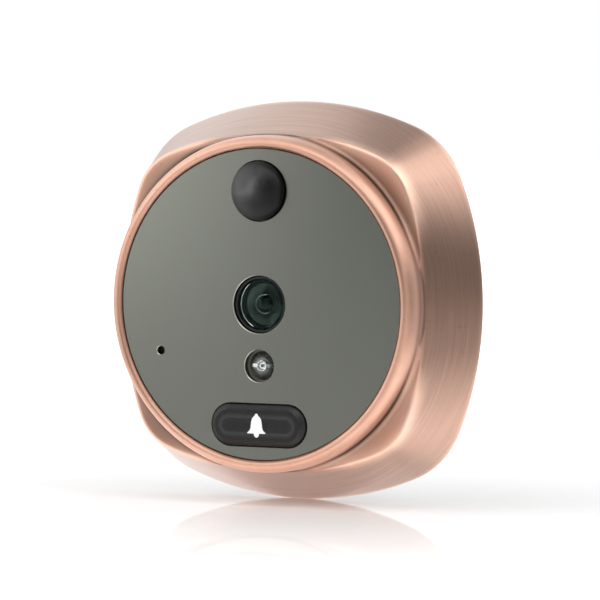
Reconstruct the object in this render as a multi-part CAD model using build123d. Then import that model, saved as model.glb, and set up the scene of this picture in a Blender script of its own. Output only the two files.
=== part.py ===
from build123d import *
import math
import os

# Peephole door camera, the unit on the outside of the door.
# Millimetres. +Z is up, +X is right seen from the street, and the front looks along -Y.
# The origin is where the axis of the peephole meets the face of the door, so the whole
# unit lies at negative Y, apart from the spigot that goes into the hole of the door.

# Face panel and the glue film behind it
panel_thick = 1.2
panel_gap = 0.12
panel_edge = 0.12
glue_thick = 0.2
glue_inset = 0.35
glue_margin = 0.6

# Openings in the panel, and the panel left between them and round them
pir_hole_radius = 5.2
mic_hole_radius = 0.72
button_hole_width = 18.4
button_hole_height = 7.4
pir_margin = 2.1
led_margin = 2.8
mic_margin = 5.48
mic_drop = 8.4
button_space = 3.7
button_margin = 1.635

# Bead ring round the panel, with the ledge inside it
bead_width = 1.83
bead_taper = 0.3
bead_proud = 0.7
bead_root = 1.5
ring_wall = 1.9
ledge_width = 0.97
ledge_thick = 1.5

# Case: rounded square with bulging sides and one draft all round
side_flare = 5.9
waist_step = 0.25
side_bulge_radius = 58.0
case_corner_radius = 15.5
shoulder_drop = 4.2
shoulder_dish = 0.25
cove_radius = 0.9
case_wall = 2.3
front_wall = 1.8
rim_wall = 2.4
rim_chamfer = 0.35

# Inner frame
frame_gap = 0.3
frame_plate = 1.6
frame_room = 7.7
frame_flange = 1.2
skirt_gap = 0.3
skirt_wall = 1.4
socket_wall = 0.95
socket_gap = 0.05
socket_lip = 0.1
post_radius = 2.2
lug_thick = 1.3
lug_gap = 0.3
rib_width = 1.2
rib_height = 2.2

# Screws
screw_radius = 0.95
pilot_gap = 0.05
screw_hole_gap = 0.15
head_radius = 1.8
head_height = 1.1
drive_width = 0.45
drive_depth = 0.5
frame_screw_bite = 0.1
board_screw_length = 4.0
holder_screw_length = 3.0
cover_screw_length = 5.0
pilot_spare = 0.4

# Motion sensor
pir_dome_rise = 3.3
pir_dome_step = 0.15
pir_dome_gap = 0.15
pir_dome_edge = 2.0
pir_dome_wall = 0.6
pir_lip = 0.5
pir_flange_thick = 0.5
can_radius = 4.1
can_wall = 0.3
can_height = 4.2
can_rim = 0.5
can_flange_thick = 0.5
can_window_width = 4.0
can_window_height = 3.0
window_thick = 0.4
can_drop = 2.9
can_play = 0.2
lead_radius = 0.225
lead_circle = 2.54
lead_hole_gap = 0.1
header_thick = 0.9
pir_spacer_inset = 0.2

# Camera lens
lens_gap = 0.15
barrel_recess = 0.5
barrel_lip = 0.38
barrel_head_length = 3.9
barrel_thread_radius = 3.5
barrel_end_gap = 0.3
glass_radius = 4.42
glass_curve = 9.0
glass_back_curve = 2.0
glass_rim = 2.82
glass_thick = 0.9
glass_recess = 0.1
spacer_width = 0.97
spacer_thick = 0.5
tunnel_step = 0.35
stop_gap = 2.7
stop_radius = 0.9
stop_thick = 0.25
rear_glass_radius = 2.6
rear_glass_curve = 5.0
rear_glass_rim = 0.9
rear_ring_width = 0.5
rear_ring_thick = 0.5
lens_play = 0.05
socket_play = 0.3
seal_width = 1.0
seal_thick = 0.6

# Lens holder, filter and image sensor
holder_width = 10.0
holder_base = 1.7
holder_neck_wall = 1.05
holder_neck_gap = 1.2
holder_shelf = 0.3
holder_ear_step = 0.2
holder_ear_radius = 2.0
holder_ear_thick = 2.4
filter_opening = 4.0
filter_lap = 0.35
filter_thick = 0.3
sensor_width = 6.6
sensor_height = 6.0
sensor_thick = 0.9
sensor_glass_width = 5.0
sensor_glass_thick = 0.25
sensor_play = 0.2

# Infrared LED
led_gap = 0.3
led_recess = 0.2
led_radius = 2.5
led_spacer_thick = 1.8
led_flange_rim = 0.4
led_flange_thick = 1.0
led_lead = 0.5
led_pitch = 2.54
led_cup_radius = 0.8
led_cup_floor = 0.45
led_cup_depth = 0.45
led_cup_height = 1.1
led_cup_drop = 1.0
led_arm_reach = 1.75
led_arm_height = 1.2
led_arm_gap = 0.2
led_cast_gap = 0.03
led_die_width = 0.4
led_die_thick = 0.2
collar_wall = 0.6
collar_gap = 1.1

# Doorbell button and its switch
button_play = 0.15
button_proud = 1.0
button_bevel = 0.85
button_travel = 0.5
button_stop_gap = 0.1
button_stem_inset = 1.4
button_roof = 1.2
button_stem_wall = 0.9
button_slot_play = 0.1
button_boss_wall = 1.2
button_boss_depth = 2.4
hook_reach = 0.45
hook_length = 0.8
hook_play = 0.05
hook_width = 2.6
post_tip_radius = 1.5
web_thick = 1.0
switch_width = 6.0
switch_body_height = 3.5
switch_cover_thick = 0.3
plunger_radius = 1.75
plunger_height = 1.3
plunger_foot_rim = 0.45
plunger_foot_thick = 0.5
plunger_play = 0.08
plunger_travel = 0.3
touch_gap = 0.02
terminal_width = 0.7
terminal_thick = 0.3
terminal_pitch = 4.5

# Microphone
sound_hole_gap = 0.08
mesh_rim = 0.7
mesh_thick = 0.1
mesh_gap = 0.2
boot_wall = 0.65
boot_floor = 0.6
boot_length = 2.5
mic_radius = 2.0
mic_length = 1.5
mic_play = 0.05
mic_lead_pitch = 2.0

# Main board and what is soldered on it
board_gap = 0.6
board_thick = 1.0
board_rear_room = 3.0
solder_tail = 0.6
processor_width = 9.0
processor_thick = 0.9
processor_right = 13.5
processor_up = 7.5
memory_width = 5.0
memory_height = 4.0
memory_thick = 1.5
memory_left = 12.0
memory_up = 8.5
inductor_width = 4.0
inductor_thick = 1.8
inductor_left = 11.5
inductor_down = 5.0
crystal_width = 3.2
crystal_height = 2.5
crystal_thick = 0.7
crystal_right = 5.6
crystal_up = 9.6
chip_width = 1.6
chip_height = 0.8
chip_thick = 0.8
chip_gap = 1.4
chip_row_count = 5
chip_row_up = 14.6
chip_row_down = 11.5
chip_row_side = 11.5
header_width = 4.4
header_height = 10.0
header_gap = 0.6
header_wall = 0.5
contact_count = 6
contact_gap = 0.85
contact_width = 0.4
contact_length = 1.3

# Back cover, its seal and what meets the door
gasket_proud = 0.4
gasket_thick = 1.0
gasket_width = 8.0
gasket_margin = 2.2
gasket_play = 0.1
cover_thick = 1.6
cover_play = 0.15
cover_seal_thick = 0.5
cover_seal_play = 0.1
cover_boss_radius = 2.2
cover_boss_gap = 1.4
spigot_radius = 7.0
spigot_length = 4.6
spigot_chamfer = 0.5
spigot_wall = 1.0
cable_slot_web = 1.2
cable_slot_height = 9.4
cable_slot_corner = 0.8
mount_screw_radius = 1.25

# One overrun serves every cut that runs out of its piece
overrun = 1.0

# Radii of the pieces that fit into each other
pir_flange_radius = pir_hole_radius + pir_lip
can_flange_radius = can_radius + can_rim
barrel_head_radius = glass_radius + lens_play + barrel_lip
lens_hole_radius = barrel_head_radius + lens_gap
led_hole_radius = led_radius + led_gap
led_flange_radius = led_radius + led_flange_rim
sound_hole_radius = mic_hole_radius + sound_hole_gap
mesh_radius = sound_hole_radius + mesh_rim
boot_radius = mic_radius + mic_play + boot_wall
plunger_foot_radius = plunger_radius + plunger_foot_rim
holder_ear_reach = holder_width / 2 + holder_ear_radius + holder_ear_step

# Places on the panel, worked out from the lens outwards, and the panel drawn round them
lens_spot = (0, 0)
led_drop = lens_hole_radius + led_margin + led_hole_radius
button_drop = led_drop + led_hole_radius + button_space + button_hole_height / 2
button_end = math.hypot((button_hole_width - button_hole_height) / 2, button_drop)
panel_radius = button_end + button_hole_height / 2 + button_margin
led_spot = (0, -led_drop)
button_spot = (0, -button_drop)
pir_spot = (0, panel_radius - pir_margin - pir_hole_radius)
mic_spot = (mic_margin + mic_hole_radius - math.sqrt(panel_radius**2 - mic_drop**2), -mic_drop)

# Bead ring and case, worked out from the panel outwards
bore_radius = panel_radius + panel_gap
bead_radius = bore_radius + bead_width
bead_foot_radius = bead_radius + bead_taper
pocket_radius = bead_foot_radius - ring_wall
ledge_radius = bore_radius - ledge_width
case_width = 2 * (bead_foot_radius + side_flare)
draft_inset = side_flare + waist_step
cover_seat = case_width / 2 - rim_wall
cover_screw_reach = cover_seat - cover_boss_gap - cover_boss_radius
board_reach = cover_screw_reach - cover_boss_radius - board_gap
gasket_outer = cover_screw_reach - head_radius - gasket_margin
gasket_inner = gasket_outer - gasket_width
mount_screw_reach = spigot_radius - spigot_wall - mount_screw_radius
cable_slot_width = 2 * (mount_screw_reach - mount_screw_radius - cable_slot_web)

# Depths along Y, from the door towards the street
rim_y = -gasket_proud
cover_y = rim_y - cover_thick
seal_y = cover_y - cover_seal_thick
board_back = cover_y - board_rear_room
tail_y = board_back + solder_tail
board_y = board_back - board_thick
lug_back = board_y - head_height - lug_gap
lug_y = lug_back - lug_thick
plate_back = board_y - frame_room
ledge_y = plate_back - frame_plate
ledge_back = ledge_y + ledge_thick
flange_back = ledge_back + frame_flange
panel_back = ledge_y - glue_thick
panel_y = panel_back - panel_thick
shoulder_y = panel_y + shoulder_drop
roof_y = shoulder_y + front_wall
skirt_back = roof_y - skirt_gap
frame_screw_length = lug_back - roof_y + frame_screw_bite
draft = draft_inset / (rim_y - shoulder_y)


def pillow(reach, side_radius, corner_radius):
    """Rounded square with bulging sides: four flat arcs and four tangent corner arcs."""
    shift = side_radius - reach
    span = side_radius - corner_radius
    centre = (math.sqrt(2 * span**2 - shift**2) - shift) / 2
    turn = math.degrees(math.atan2(centre, centre + shift))
    arcs = []
    for quarter in range(4):
        spin = Rot(0, 0, 90 * quarter)
        arcs.append(spin * CenterArc((-shift, 0), side_radius, -turn, 2 * turn))
        arcs.append(spin * CenterArc((centre, centre), corner_radius, turn, 90 - 2 * turn))
    return make_face(arcs)


def pillow_inset(inset):
    """Outline of the case's rear rim, drawn in by an inset all round."""
    return pillow(case_width / 2 - inset, side_bulge_radius - inset, case_corner_radius - inset)


def inset_at(y):
    """How far the draft of the case has drawn its outline in at a depth."""
    return draft * (rim_y - y)


def corner_reach_at(y):
    """Distance from the axis to the case's corner at a depth."""
    side_radius = side_bulge_radius - inset_at(y)
    corner_radius = case_corner_radius - inset_at(y)
    shift = side_bulge_radius - case_width / 2
    span = side_radius - corner_radius
    centre = (math.sqrt(2 * span**2 - shift**2) - shift) / 2
    return centre * math.sqrt(2) + corner_radius


def on_depth(outline, y):
    """Lays an outline, drawn in X and Z, at a depth."""
    return Plane.XZ.offset(-y) * outline


def slab(outline, front, back):
    """Solid of one outline between two depths."""
    return extrude(on_depth(outline, back), amount=back - front)


def drafted(front, back, inset):
    """Solid with the draft of the case between two depths, drawn in by an inset."""
    rear = on_depth(pillow_inset(inset_at(back) + inset), back)
    nose = on_depth(pillow_inset(inset_at(front) + inset), front)
    return loft([rear, nose], ruled=True)


def rod(radius, front, back):
    """Round solid on the Y axis between two depths."""
    return slab(Circle(radius), front, back)


def tube(outer, inner, front, back):
    """Round wall on the Y axis between two depths."""
    return slab(Circle(outer) - Circle(inner), front, back)


def block(width, height, front, back):
    """Square-edged solid on the Y axis between two depths."""
    return slab(Rectangle(width, height), front, back)


def turned(points):
    """Turns a closed outline of radii and depths about the Y axis."""
    return revolve(make_face(Polyline(*points, close=True)), Axis.Y)


def turned_edges(edges):
    """Turns a closed outline of lines and arcs, in radii and depths, about the Y axis."""
    return revolve(make_face(edges), Axis.Y)


def quarter_arc(start, end, centre, radius):
    """Arc between two points whose middle lies halfway round, a radius from the centre."""
    middle = ((start[0] + end[0]) / 2 - centre[0], (start[1] + end[1]) / 2 - centre[1])
    size = math.hypot(*middle)
    through = (centre[0] + middle[0] * radius / size, centre[1] + middle[1] * radius / size)
    return ThreePointArc(start, through, end)


def sag(radius, curve):
    """Height of a spherical cap with a given base radius and radius of curvature."""
    return curve - math.sqrt(curve**2 - radius**2)


def cap_arc(apex_y, radius, curve):
    """Half section of a spherical surface that bulges to the front, from the axis out."""
    centre = (0, apex_y + curve)
    return quarter_arc((0, apex_y), (radius, apex_y + sag(radius, curve)), centre, curve)


def at(spot, shape):
    """Moves a shape made on the Y axis to a place on the front."""
    return Pos(spot[0], 0, spot[1]) * shape


def square_spots(reach):
    """Four places on the diagonals."""
    return [(x * reach, z * reach) for x in (-1, 1) for z in (-1, 1)]


def cross_spots(reach):
    """Four places at the middles of the sides."""
    return [(reach, 0), (0, reach), (-reach, 0), (0, -reach)]


def around(spot, offsets):
    """Places that are given from a spot on the front."""
    return [(spot[0] + x, spot[1] + z) for x, z in offsets]


def spread(shape, spots):
    """One group of separate copies of a shape at several places."""
    return Compound(children=[at(spot, shape) for spot in spots])


def cut_all(body, tool, spots):
    """Cuts the same hole at several places."""
    for spot in spots:
        body -= at(spot, tool)
    return body


# Case
skirt_radius = pocket_radius - frame_gap
post_spots = square_spots((skirt_radius - post_radius) / math.sqrt(2))
frame_boss_spots = square_spots((pocket_radius + post_radius) / math.sqrt(2))
cover_boss_spots = cross_spots(cover_screw_reach)
bead_half = (bead_radius - bore_radius) / 2
bead_start = panel_y - bead_proud + bead_half
cove_top = shoulder_y + shoulder_dish - cove_radius
cove_end = (bead_foot_radius + cove_radius, shoulder_y + shoulder_dish)


def flank_and_cove():
    """Outer side of the bead ring with the cove that runs out onto the shoulder."""
    foot = (bead_foot_radius, cove_top)
    return [
        Line((bead_radius, bead_start), foot),
        quarter_arc(foot, cove_end, (cove_end[0], cove_top), cove_radius),
    ]


def shoulder_cutter():
    """Everything outside the bead ring and in front of the dished shoulders."""
    edge = (corner_reach_at(shoulder_y), shoulder_y)
    dip = ((cove_end[0] + edge[0]) / 2, shoulder_y + shoulder_dish * 0.8)
    return turned_edges(
        flank_and_cove()
        + [
            ThreePointArc(cove_end, dip, edge),
            Line(edge, (case_width, shoulder_y)),
            Line((case_width, shoulder_y), (case_width, bead_start)),
            Line((case_width, bead_start), (bead_radius, bead_start)),
        ]
    )


def bead_ring():
    """Ring round the panel, with a round crest, and the ledge that the panel is glued to."""
    low = shoulder_y + bead_root
    crest = (bore_radius + bead_half, bead_start)
    outline = [
        (bead_foot_radius, cove_top),
        (bead_foot_radius, low),
        (pocket_radius, low),
        (pocket_radius, ledge_back),
        (ledge_radius, ledge_back),
        (ledge_radius, ledge_y),
        (bore_radius, ledge_y),
        (bore_radius, bead_start),
    ]
    top = (crest[0], bead_start - bead_half)
    return turned_edges(
        [
            Polyline(*outline),
            ThreePointArc(outline[-1], top, (bead_radius, bead_start)),
            Line((bead_radius, bead_start), outline[0]),
        ]
    )


def make_case():
    """Die-cast shell: drafted walls, dished shoulders, bead ring, ledges and screw bosses."""
    shell = drafted(shoulder_y - 2 * cove_radius, rim_y, 0)
    rear = shell.faces().sort_by(Axis.Y)[-1]
    shell = chamfer(rear.edges(), rim_chamfer)
    shell -= shoulder_cutter()
    shell -= rod(pocket_radius, shoulder_y - 3 * cove_radius, roof_y + overrun)
    shell -= drafted(roof_y, seal_y, case_wall)
    shell -= slab(pillow_inset(case_width / 2 - cover_seat), seal_y, rim_y + overrun)
    shell += bead_ring()
    for spot in frame_boss_spots:
        shell += at(spot, rod(post_radius, roof_y, lug_y))
    inside = drafted(roof_y, cover_y, case_wall / 2)
    for spot in cover_boss_spots:
        shell += at(spot, rod(cover_boss_radius, roof_y, cover_y)) & inside
    pilot = screw_radius + pilot_gap
    frame_tip = lug_back - frame_screw_length - pilot_spare
    cover_tip = rim_y - cover_screw_length - pilot_spare
    shell = cut_all(shell, rod(pilot, frame_tip, lug_y + overrun), frame_boss_spots)
    return cut_all(shell, rod(pilot, cover_tip, cover_y + overrun), cover_boss_spots)


# Face panel and its glue
def make_face_panel():
    """Round plate with five openings and a fine bright edge round each."""
    plate = rod(panel_radius, panel_y, panel_back)
    for spot, radius in (
        (pir_spot, pir_hole_radius),
        (lens_spot, lens_hole_radius),
        (led_spot, led_hole_radius),
        (mic_spot, mic_hole_radius),
    ):
        plate -= at(spot, rod(radius, panel_y - overrun, panel_back + overrun))
    slot = SlotOverall(button_hole_width, button_hole_height)
    plate -= at(button_spot, slab(slot, panel_y - overrun, panel_back + overrun))
    front = plate.faces().sort_by(Axis.Y)[0]
    return chamfer(front.edges(), panel_edge)


def make_panel_glue():
    """Film of glue, cut back round each opening."""
    film = rod(panel_radius - glue_inset, panel_back, ledge_y)
    for spot, radius in (
        (pir_spot, pir_flange_radius),
        (lens_spot, lens_socket_radius + seal_width),
        (led_spot, led_hole_radius),
        (mic_spot, mesh_radius),
    ):
        film -= at(spot, rod(radius + mesh_gap, panel_back - overrun, ledge_y + overrun))
    width = button_hole_width + 2 * glue_margin
    height = button_hole_height + 2 * glue_margin
    slot = slab(SlotOverall(width, height), panel_back - overrun, ledge_y + overrun)
    return film - at(button_spot, slot)


# Inner frame
plate_radius = ledge_radius - frame_gap
skirt_inner = skirt_radius - skirt_wall

can_y = panel_y + can_drop
can_back = can_y + can_height
can_flange_y = can_back - can_flange_thick
can_socket_radius = can_radius + can_play
pir_flange_back = panel_back + pir_flange_thick

barrel_y = panel_y + barrel_recess
barrel_head_back = barrel_y + barrel_head_length
lens_socket_radius = barrel_head_radius + socket_play
seal_back = panel_back + seal_thick

led_y = panel_y + led_recess
led_back = board_y - led_spacer_thick
collar_bore = led_radius + socket_gap
collar_radius = collar_bore + collar_wall
collar_back = led_back - led_flange_thick - collar_gap

boot_y = plate_back
boot_back = boot_y + boot_length

stem_width = button_hole_width - 2 * button_stem_inset
stem_height = button_hole_height - 2 * button_stem_inset
button_boss_back = ledge_y + button_boss_depth


def frame_bowl():
    """Plate behind the panel, stepped under the ledge of the case, with a short skirt."""
    return turned(
        [
            (0, ledge_y),
            (plate_radius, ledge_y),
            (plate_radius, ledge_back),
            (skirt_radius, ledge_back),
            (skirt_radius, skirt_back),
            (skirt_inner, skirt_back),
            (skirt_inner, flange_back),
            (skirt_inner - frame_flange, plate_back),
            (0, plate_back),
        ]
    )


def frame_sockets():
    """Walls behind the plate that hold the sensor, lens, lamp, microphone and button."""
    front = ledge_y + frame_plate / 2
    can_wall_radius = can_socket_radius + socket_wall
    lens_wall_radius = lens_socket_radius + socket_wall
    led_wall_radius = collar_radius + socket_gap + socket_wall
    mic_wall_radius = boot_radius + socket_gap + socket_wall
    boss_width = stem_width + 2 * (button_slot_play + button_boss_wall)
    boss_height = stem_height + 2 * (button_slot_play + button_boss_wall)
    return [
        at(pir_spot, rod(can_wall_radius, front, can_flange_y)),
        at(lens_spot, rod(lens_wall_radius, front, barrel_head_back)),
        at(led_spot, rod(led_wall_radius, front, collar_back)),
        at(mic_spot, rod(mic_wall_radius, front, boot_back)),
        at(button_spot, slab(SlotOverall(boss_width, boss_height), front, button_boss_back)),
    ]


def frame_arms():
    """Four posts for the board, each with a lug for the frame's own screw, and four ribs."""
    post_run = skirt_radius - post_radius
    lug_run = pocket_radius + post_radius
    rib_start = lens_socket_radius + socket_wall / 2
    post = Pos(post_run, 0, 0) * rod(post_radius, ledge_back, board_y)
    lug_slot = SlotCenterToCenter(lug_run - post_run, 2 * post_radius)
    lug = Pos((post_run + lug_run) / 2, 0, 0) * slab(lug_slot, lug_y, lug_back)
    rib_front = ledge_y + frame_plate / 2
    rib = block(post_run - rib_start, rib_width, rib_front, plate_back + rib_height)
    rib = Pos((post_run + rib_start) / 2, 0, 0) * rib
    return [Rot(0, turn, 0) * arm for turn in (45, 135, 225, 315) for arm in (post, lug, rib)]


def frame_openings():
    """What is cut through the frame for the pieces that it holds."""
    front = ledge_y - overrun
    slot_width = stem_width + 2 * button_slot_play
    slot_height = stem_height + 2 * button_slot_play
    led_bore = collar_radius + socket_gap
    return [
        at(pir_spot, rod(pir_flange_radius + socket_lip, front, pir_flange_back + socket_gap)),
        at(pir_spot, rod(can_socket_radius, front, can_back)),
        at(lens_spot, rod(lens_socket_radius + seal_width, front, seal_back)),
        at(lens_spot, rod(lens_socket_radius, front, barrel_head_back + overrun)),
        at(led_spot, rod(led_bore, front, collar_back + overrun)),
        at(mic_spot, rod(sound_hole_radius, front, boot_y + overrun)),
        at(mic_spot, rod(boot_radius + socket_gap, boot_y, boot_back + overrun)),
        at(button_spot, slab(SlotOverall(slot_width, slot_height), front, button_boss_back + overrun)),
    ]


def make_inner_frame():
    """Moulded carrier of the board and of everything that looks out through the panel."""
    frame = frame_bowl()
    for piece in frame_sockets() + frame_arms():
        frame += piece
    for opening in frame_openings():
        frame -= opening
    lug_hole = rod(screw_radius + screw_hole_gap, lug_y - overrun, lug_back + overrun)
    frame = cut_all(frame, lug_hole, frame_boss_spots)
    tip = board_back - board_screw_length - pilot_spare
    return cut_all(frame, rod(screw_radius + pilot_gap, tip, board_y + overrun), post_spots)


# Screws
def drive_recess(seat):
    """Cross recess in a head whose top lies at a depth."""
    front = seat - drive_depth
    bar = block(2 * screw_radius, drive_width, front, seat + overrun)
    return bar + block(drive_width, 2 * screw_radius, front, seat + overrun)


def pan_screw(seat, length):
    """Screw whose round head stands behind its seat and whose shaft points to the street."""
    head = rod(head_radius, seat, seat + head_height)
    crown = head.faces().sort_by(Axis.Y)[-1]
    head = chamfer(crown.edges(), head_height * 0.3)
    return head + rod(screw_radius, seat - length, seat) - drive_recess(seat + head_height)


def sunk_screw(seat, length):
    """Screw with a cone head, flush with its seat."""
    neck = seat - (head_radius - screw_radius)
    body = turned(
        [
            (0, seat),
            (head_radius, seat),
            (screw_radius, neck),
            (screw_radius, seat - length),
            (0, seat - length),
        ]
    )
    return body - drive_recess(seat)


# Motion sensor
def dome_section(radius, rise, edge):
    """Half section of a dome: a cap from the axis, then an edge that ends upright at its foot."""
    foot_y = panel_y - pir_dome_step
    corner = radius - edge
    curve = (corner**2 + rise**2 - edge**2) / (2 * (rise - edge))
    apex_y = foot_y - rise
    join_radius = curve * math.sin(math.atan2(corner, curve - rise))
    join = (join_radius, apex_y + sag(join_radius, curve))
    return (
        cap_arc(apex_y, join_radius, curve),
        quarter_arc(join, (radius, foot_y), (corner, foot_y), edge),
    )


def make_pir_lens():
    """Thin domed window with a flange that is trapped behind the panel."""
    base = pir_hole_radius - pir_dome_gap
    inner = base - pir_dome_wall
    rise = pir_dome_rise - pir_dome_step
    cap, side = dome_section(base, rise, pir_dome_edge)
    hollow_cap, hollow_side = dome_section(
        inner, rise - pir_dome_wall, pir_dome_edge - pir_dome_wall
    )
    return turned_edges(
        [
            cap,
            side,
            Polyline(
                side @ 1,
                (base, panel_back),
                (pir_flange_radius, panel_back),
                (pir_flange_radius, pir_flange_back),
                (inner, pir_flange_back),
                hollow_side @ 1,
            ),
            hollow_side,
            hollow_cap,
            Line(hollow_cap @ 0, cap @ 0),
        ]
    )


def lead_spots():
    """Three wires at right angles on one circle."""
    return [(lead_circle, 0), (0, lead_circle), (-lead_circle, 0)]


def make_pir_can():
    """Drawn metal can with a rolled flange and a window cut in its top."""
    inner = can_radius - can_wall
    can = turned(
        [
            (0, can_y),
            (can_radius, can_y),
            (can_radius, can_flange_y),
            (can_flange_radius, can_flange_y),
            (can_flange_radius, can_back),
            (inner, can_back),
            (inner, can_y + can_wall),
            (0, can_y + can_wall),
        ]
    )
    can -= block(can_window_width, can_window_height, can_y - overrun, can_y + can_wall)
    return at(pir_spot, can)


def make_pir_window():
    """Filter plate glued inside the can, behind its window."""
    margin = 2 * can_wall
    front = can_y + can_wall
    plate = block(can_window_width + margin, can_window_height + margin, front, front + window_thick)
    return at(pir_spot, plate)


def make_pir_header():
    """Metal base that closes the can, with three glass-sealed holes."""
    base = rod(can_radius - can_wall - socket_gap, can_back - header_thick, can_back)
    hole = rod(lead_radius + lead_hole_gap, can_y, board_y)
    return at(pir_spot, cut_all(base, hole, lead_spots()))


def make_pir_spacer():
    """Plastic disc that holds the sensor at its height above the board."""
    disc = rod(can_radius - pir_spacer_inset, can_back, board_y)
    hole = rod(lead_radius + lead_hole_gap, can_y, board_back)
    return at(pir_spot, cut_all(disc, hole, lead_spots()))


def make_pir_leads():
    """Three wires from inside the can through the board."""
    wire = rod(lead_radius, can_back - header_thick - solder_tail, tail_y)
    return spread(wire, around(pir_spot, lead_spots()))


# Camera lens, from the street inwards
shelf_y = board_y - sensor_thick - sensor_play - holder_shelf
barrel_back = shelf_y - filter_thick - barrel_end_gap
tunnel_radius = rear_glass_radius + lens_play
glass_back_radius = glass_radius - glass_rim
glass_y = barrel_y + glass_recess
glass_edge_y = glass_y + sag(glass_radius, glass_curve)
glass_back = glass_y + glass_thick + sag(glass_back_radius, glass_back_curve)
spacer_back = glass_back + spacer_thick
stop_y = spacer_back + stop_gap
stop_back = stop_y + stop_thick
rear_rim_back = stop_back + rear_glass_rim
rear_apex = rear_rim_back + sag(rear_glass_radius, rear_glass_curve)
rear_ring_radius = tunnel_radius - rear_ring_width
rear_ring_y = rear_apex - sag(rear_ring_radius, rear_glass_curve) + lens_play


def make_lens_barrel():
    """Turned barrel: wide head with the glass seat, narrow threaded end, stepped tunnel."""
    seat = glass_radius + lens_play
    throat = tunnel_radius - tunnel_step
    barrel = turned(
        [
            (seat, barrel_y),
            (barrel_head_radius - panel_edge, barrel_y),
            (barrel_head_radius, barrel_y + panel_edge),
            (barrel_head_radius, barrel_head_back),
            (barrel_thread_radius, barrel_head_back),
            (barrel_thread_radius, barrel_back),
            (tunnel_radius, barrel_back),
            (tunnel_radius, stop_y),
            (throat, stop_y),
            (throat, spacer_back),
            (seat, spacer_back),
        ]
    )
    return at(lens_spot, barrel)


def make_front_glass():
    """Bowl-shaped front lens: bulging outside, hollow inside, with a flat rim at the back."""
    hollow_apex = glass_y + glass_thick
    glass = turned_edges(
        [
            cap_arc(glass_y, glass_radius, glass_curve),
            Polyline(
                (glass_radius, glass_edge_y),
                (glass_radius, glass_back),
                (glass_back_radius, glass_back),
            ),
            cap_arc(hollow_apex, glass_back_radius, glass_back_curve),
            Line((0, hollow_apex), (0, glass_y)),
        ]
    )
    return at(lens_spot, glass)


def make_lens_spacer():
    """Blackened ring between the front lens and the seat in the barrel."""
    lip = spacer_thick / 2
    spacer_radius = glass_radius - spacer_width
    ring = turned(
        [
            (spacer_radius, glass_back),
            (glass_radius, glass_back),
            (glass_radius, spacer_back),
            (spacer_radius - lip, spacer_back),
            (spacer_radius - lip, spacer_back - lip),
        ]
    )
    return at(lens_spot, ring)


def make_aperture_stop():
    """Thin disc with a small round opening."""
    disc = tube(tunnel_radius - lens_play, stop_radius, stop_y, stop_back)
    return at(lens_spot, disc)


def make_rear_glass():
    """Rear lens: flat towards the stop, bulging towards the sensor."""
    middle_radius = rear_glass_radius / 2
    middle = (middle_radius, rear_apex - sag(middle_radius, rear_glass_curve))
    glass = turned_edges(
        [
            Polyline(
                (0, rear_apex),
                (0, stop_back),
                (rear_glass_radius, stop_back),
                (rear_glass_radius, rear_rim_back),
            ),
            ThreePointArc((rear_glass_radius, rear_rim_back), middle, (0, rear_apex)),
        ]
    )
    return at(lens_spot, glass)


def make_rear_ring():
    """Ring screwed in behind the rear lens."""
    ring = tube(tunnel_radius - lens_play, rear_ring_radius, rear_ring_y, rear_ring_y + rear_ring_thick)
    return at(lens_spot, ring)


def make_lens_seal():
    """Soft ring round the barrel, squeezed between the panel and the frame."""
    inner = barrel_head_radius + socket_play / 2
    ring = tube(lens_socket_radius + seal_width - socket_gap, inner, panel_back, seal_back)
    return at(lens_spot, ring)


# Lens holder, filter and image sensor
ear_spots = [(holder_ear_reach, 0), (-holder_ear_reach, 0)]


def make_lens_holder():
    """Moulded socket that the barrel is screwed into, standing over the image sensor."""
    base_y = board_y - holder_base
    neck_y = barrel_head_back + holder_neck_gap
    bore = barrel_thread_radius + lens_play
    holder = block(holder_width, holder_width, base_y, board_y)
    holder += rod(bore + holder_neck_wall, neck_y, base_y)
    ears = SlotOverall(2 * (holder_ear_reach + holder_ear_radius), 2 * holder_ear_radius)
    holder += slab(ears, board_y - holder_ear_thick, board_y)
    holder -= rod(bore, neck_y - overrun, shelf_y)
    holder -= block(filter_opening, filter_opening, shelf_y - overrun, board_y + overrun)
    room_width = sensor_width + 2 * sensor_play
    room_height = sensor_height + 2 * sensor_play
    holder -= block(room_width, room_height, shelf_y + holder_shelf, board_y + overrun)
    tip = board_back - holder_screw_length - pilot_spare / 2
    return cut_all(holder, rod(screw_radius + pilot_gap, tip, board_y + overrun), ear_spots)


def make_cut_filter():
    """Square filter glass on the shelf of the holder."""
    filter_width = filter_opening + 2 * filter_lap
    return block(filter_width, filter_width, shelf_y - filter_thick, shelf_y)


def make_image_sensor():
    """Sensor package with its cover glass standing proud in the middle."""
    package = block(sensor_width, sensor_height, board_y - sensor_thick + sensor_glass_thick, board_y)
    glass_height = sensor_glass_width * sensor_height / sensor_width
    return package + block(sensor_glass_width, glass_height, board_y - sensor_thick, board_y)


# Infrared LED
cup_y = led_y + led_cup_drop
cup_back = cup_y + led_cup_height


def led_leg_spots():
    """Two legs side by side."""
    return [(led_pitch / 2, 0), (-led_pitch / 2, 0)]


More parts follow.
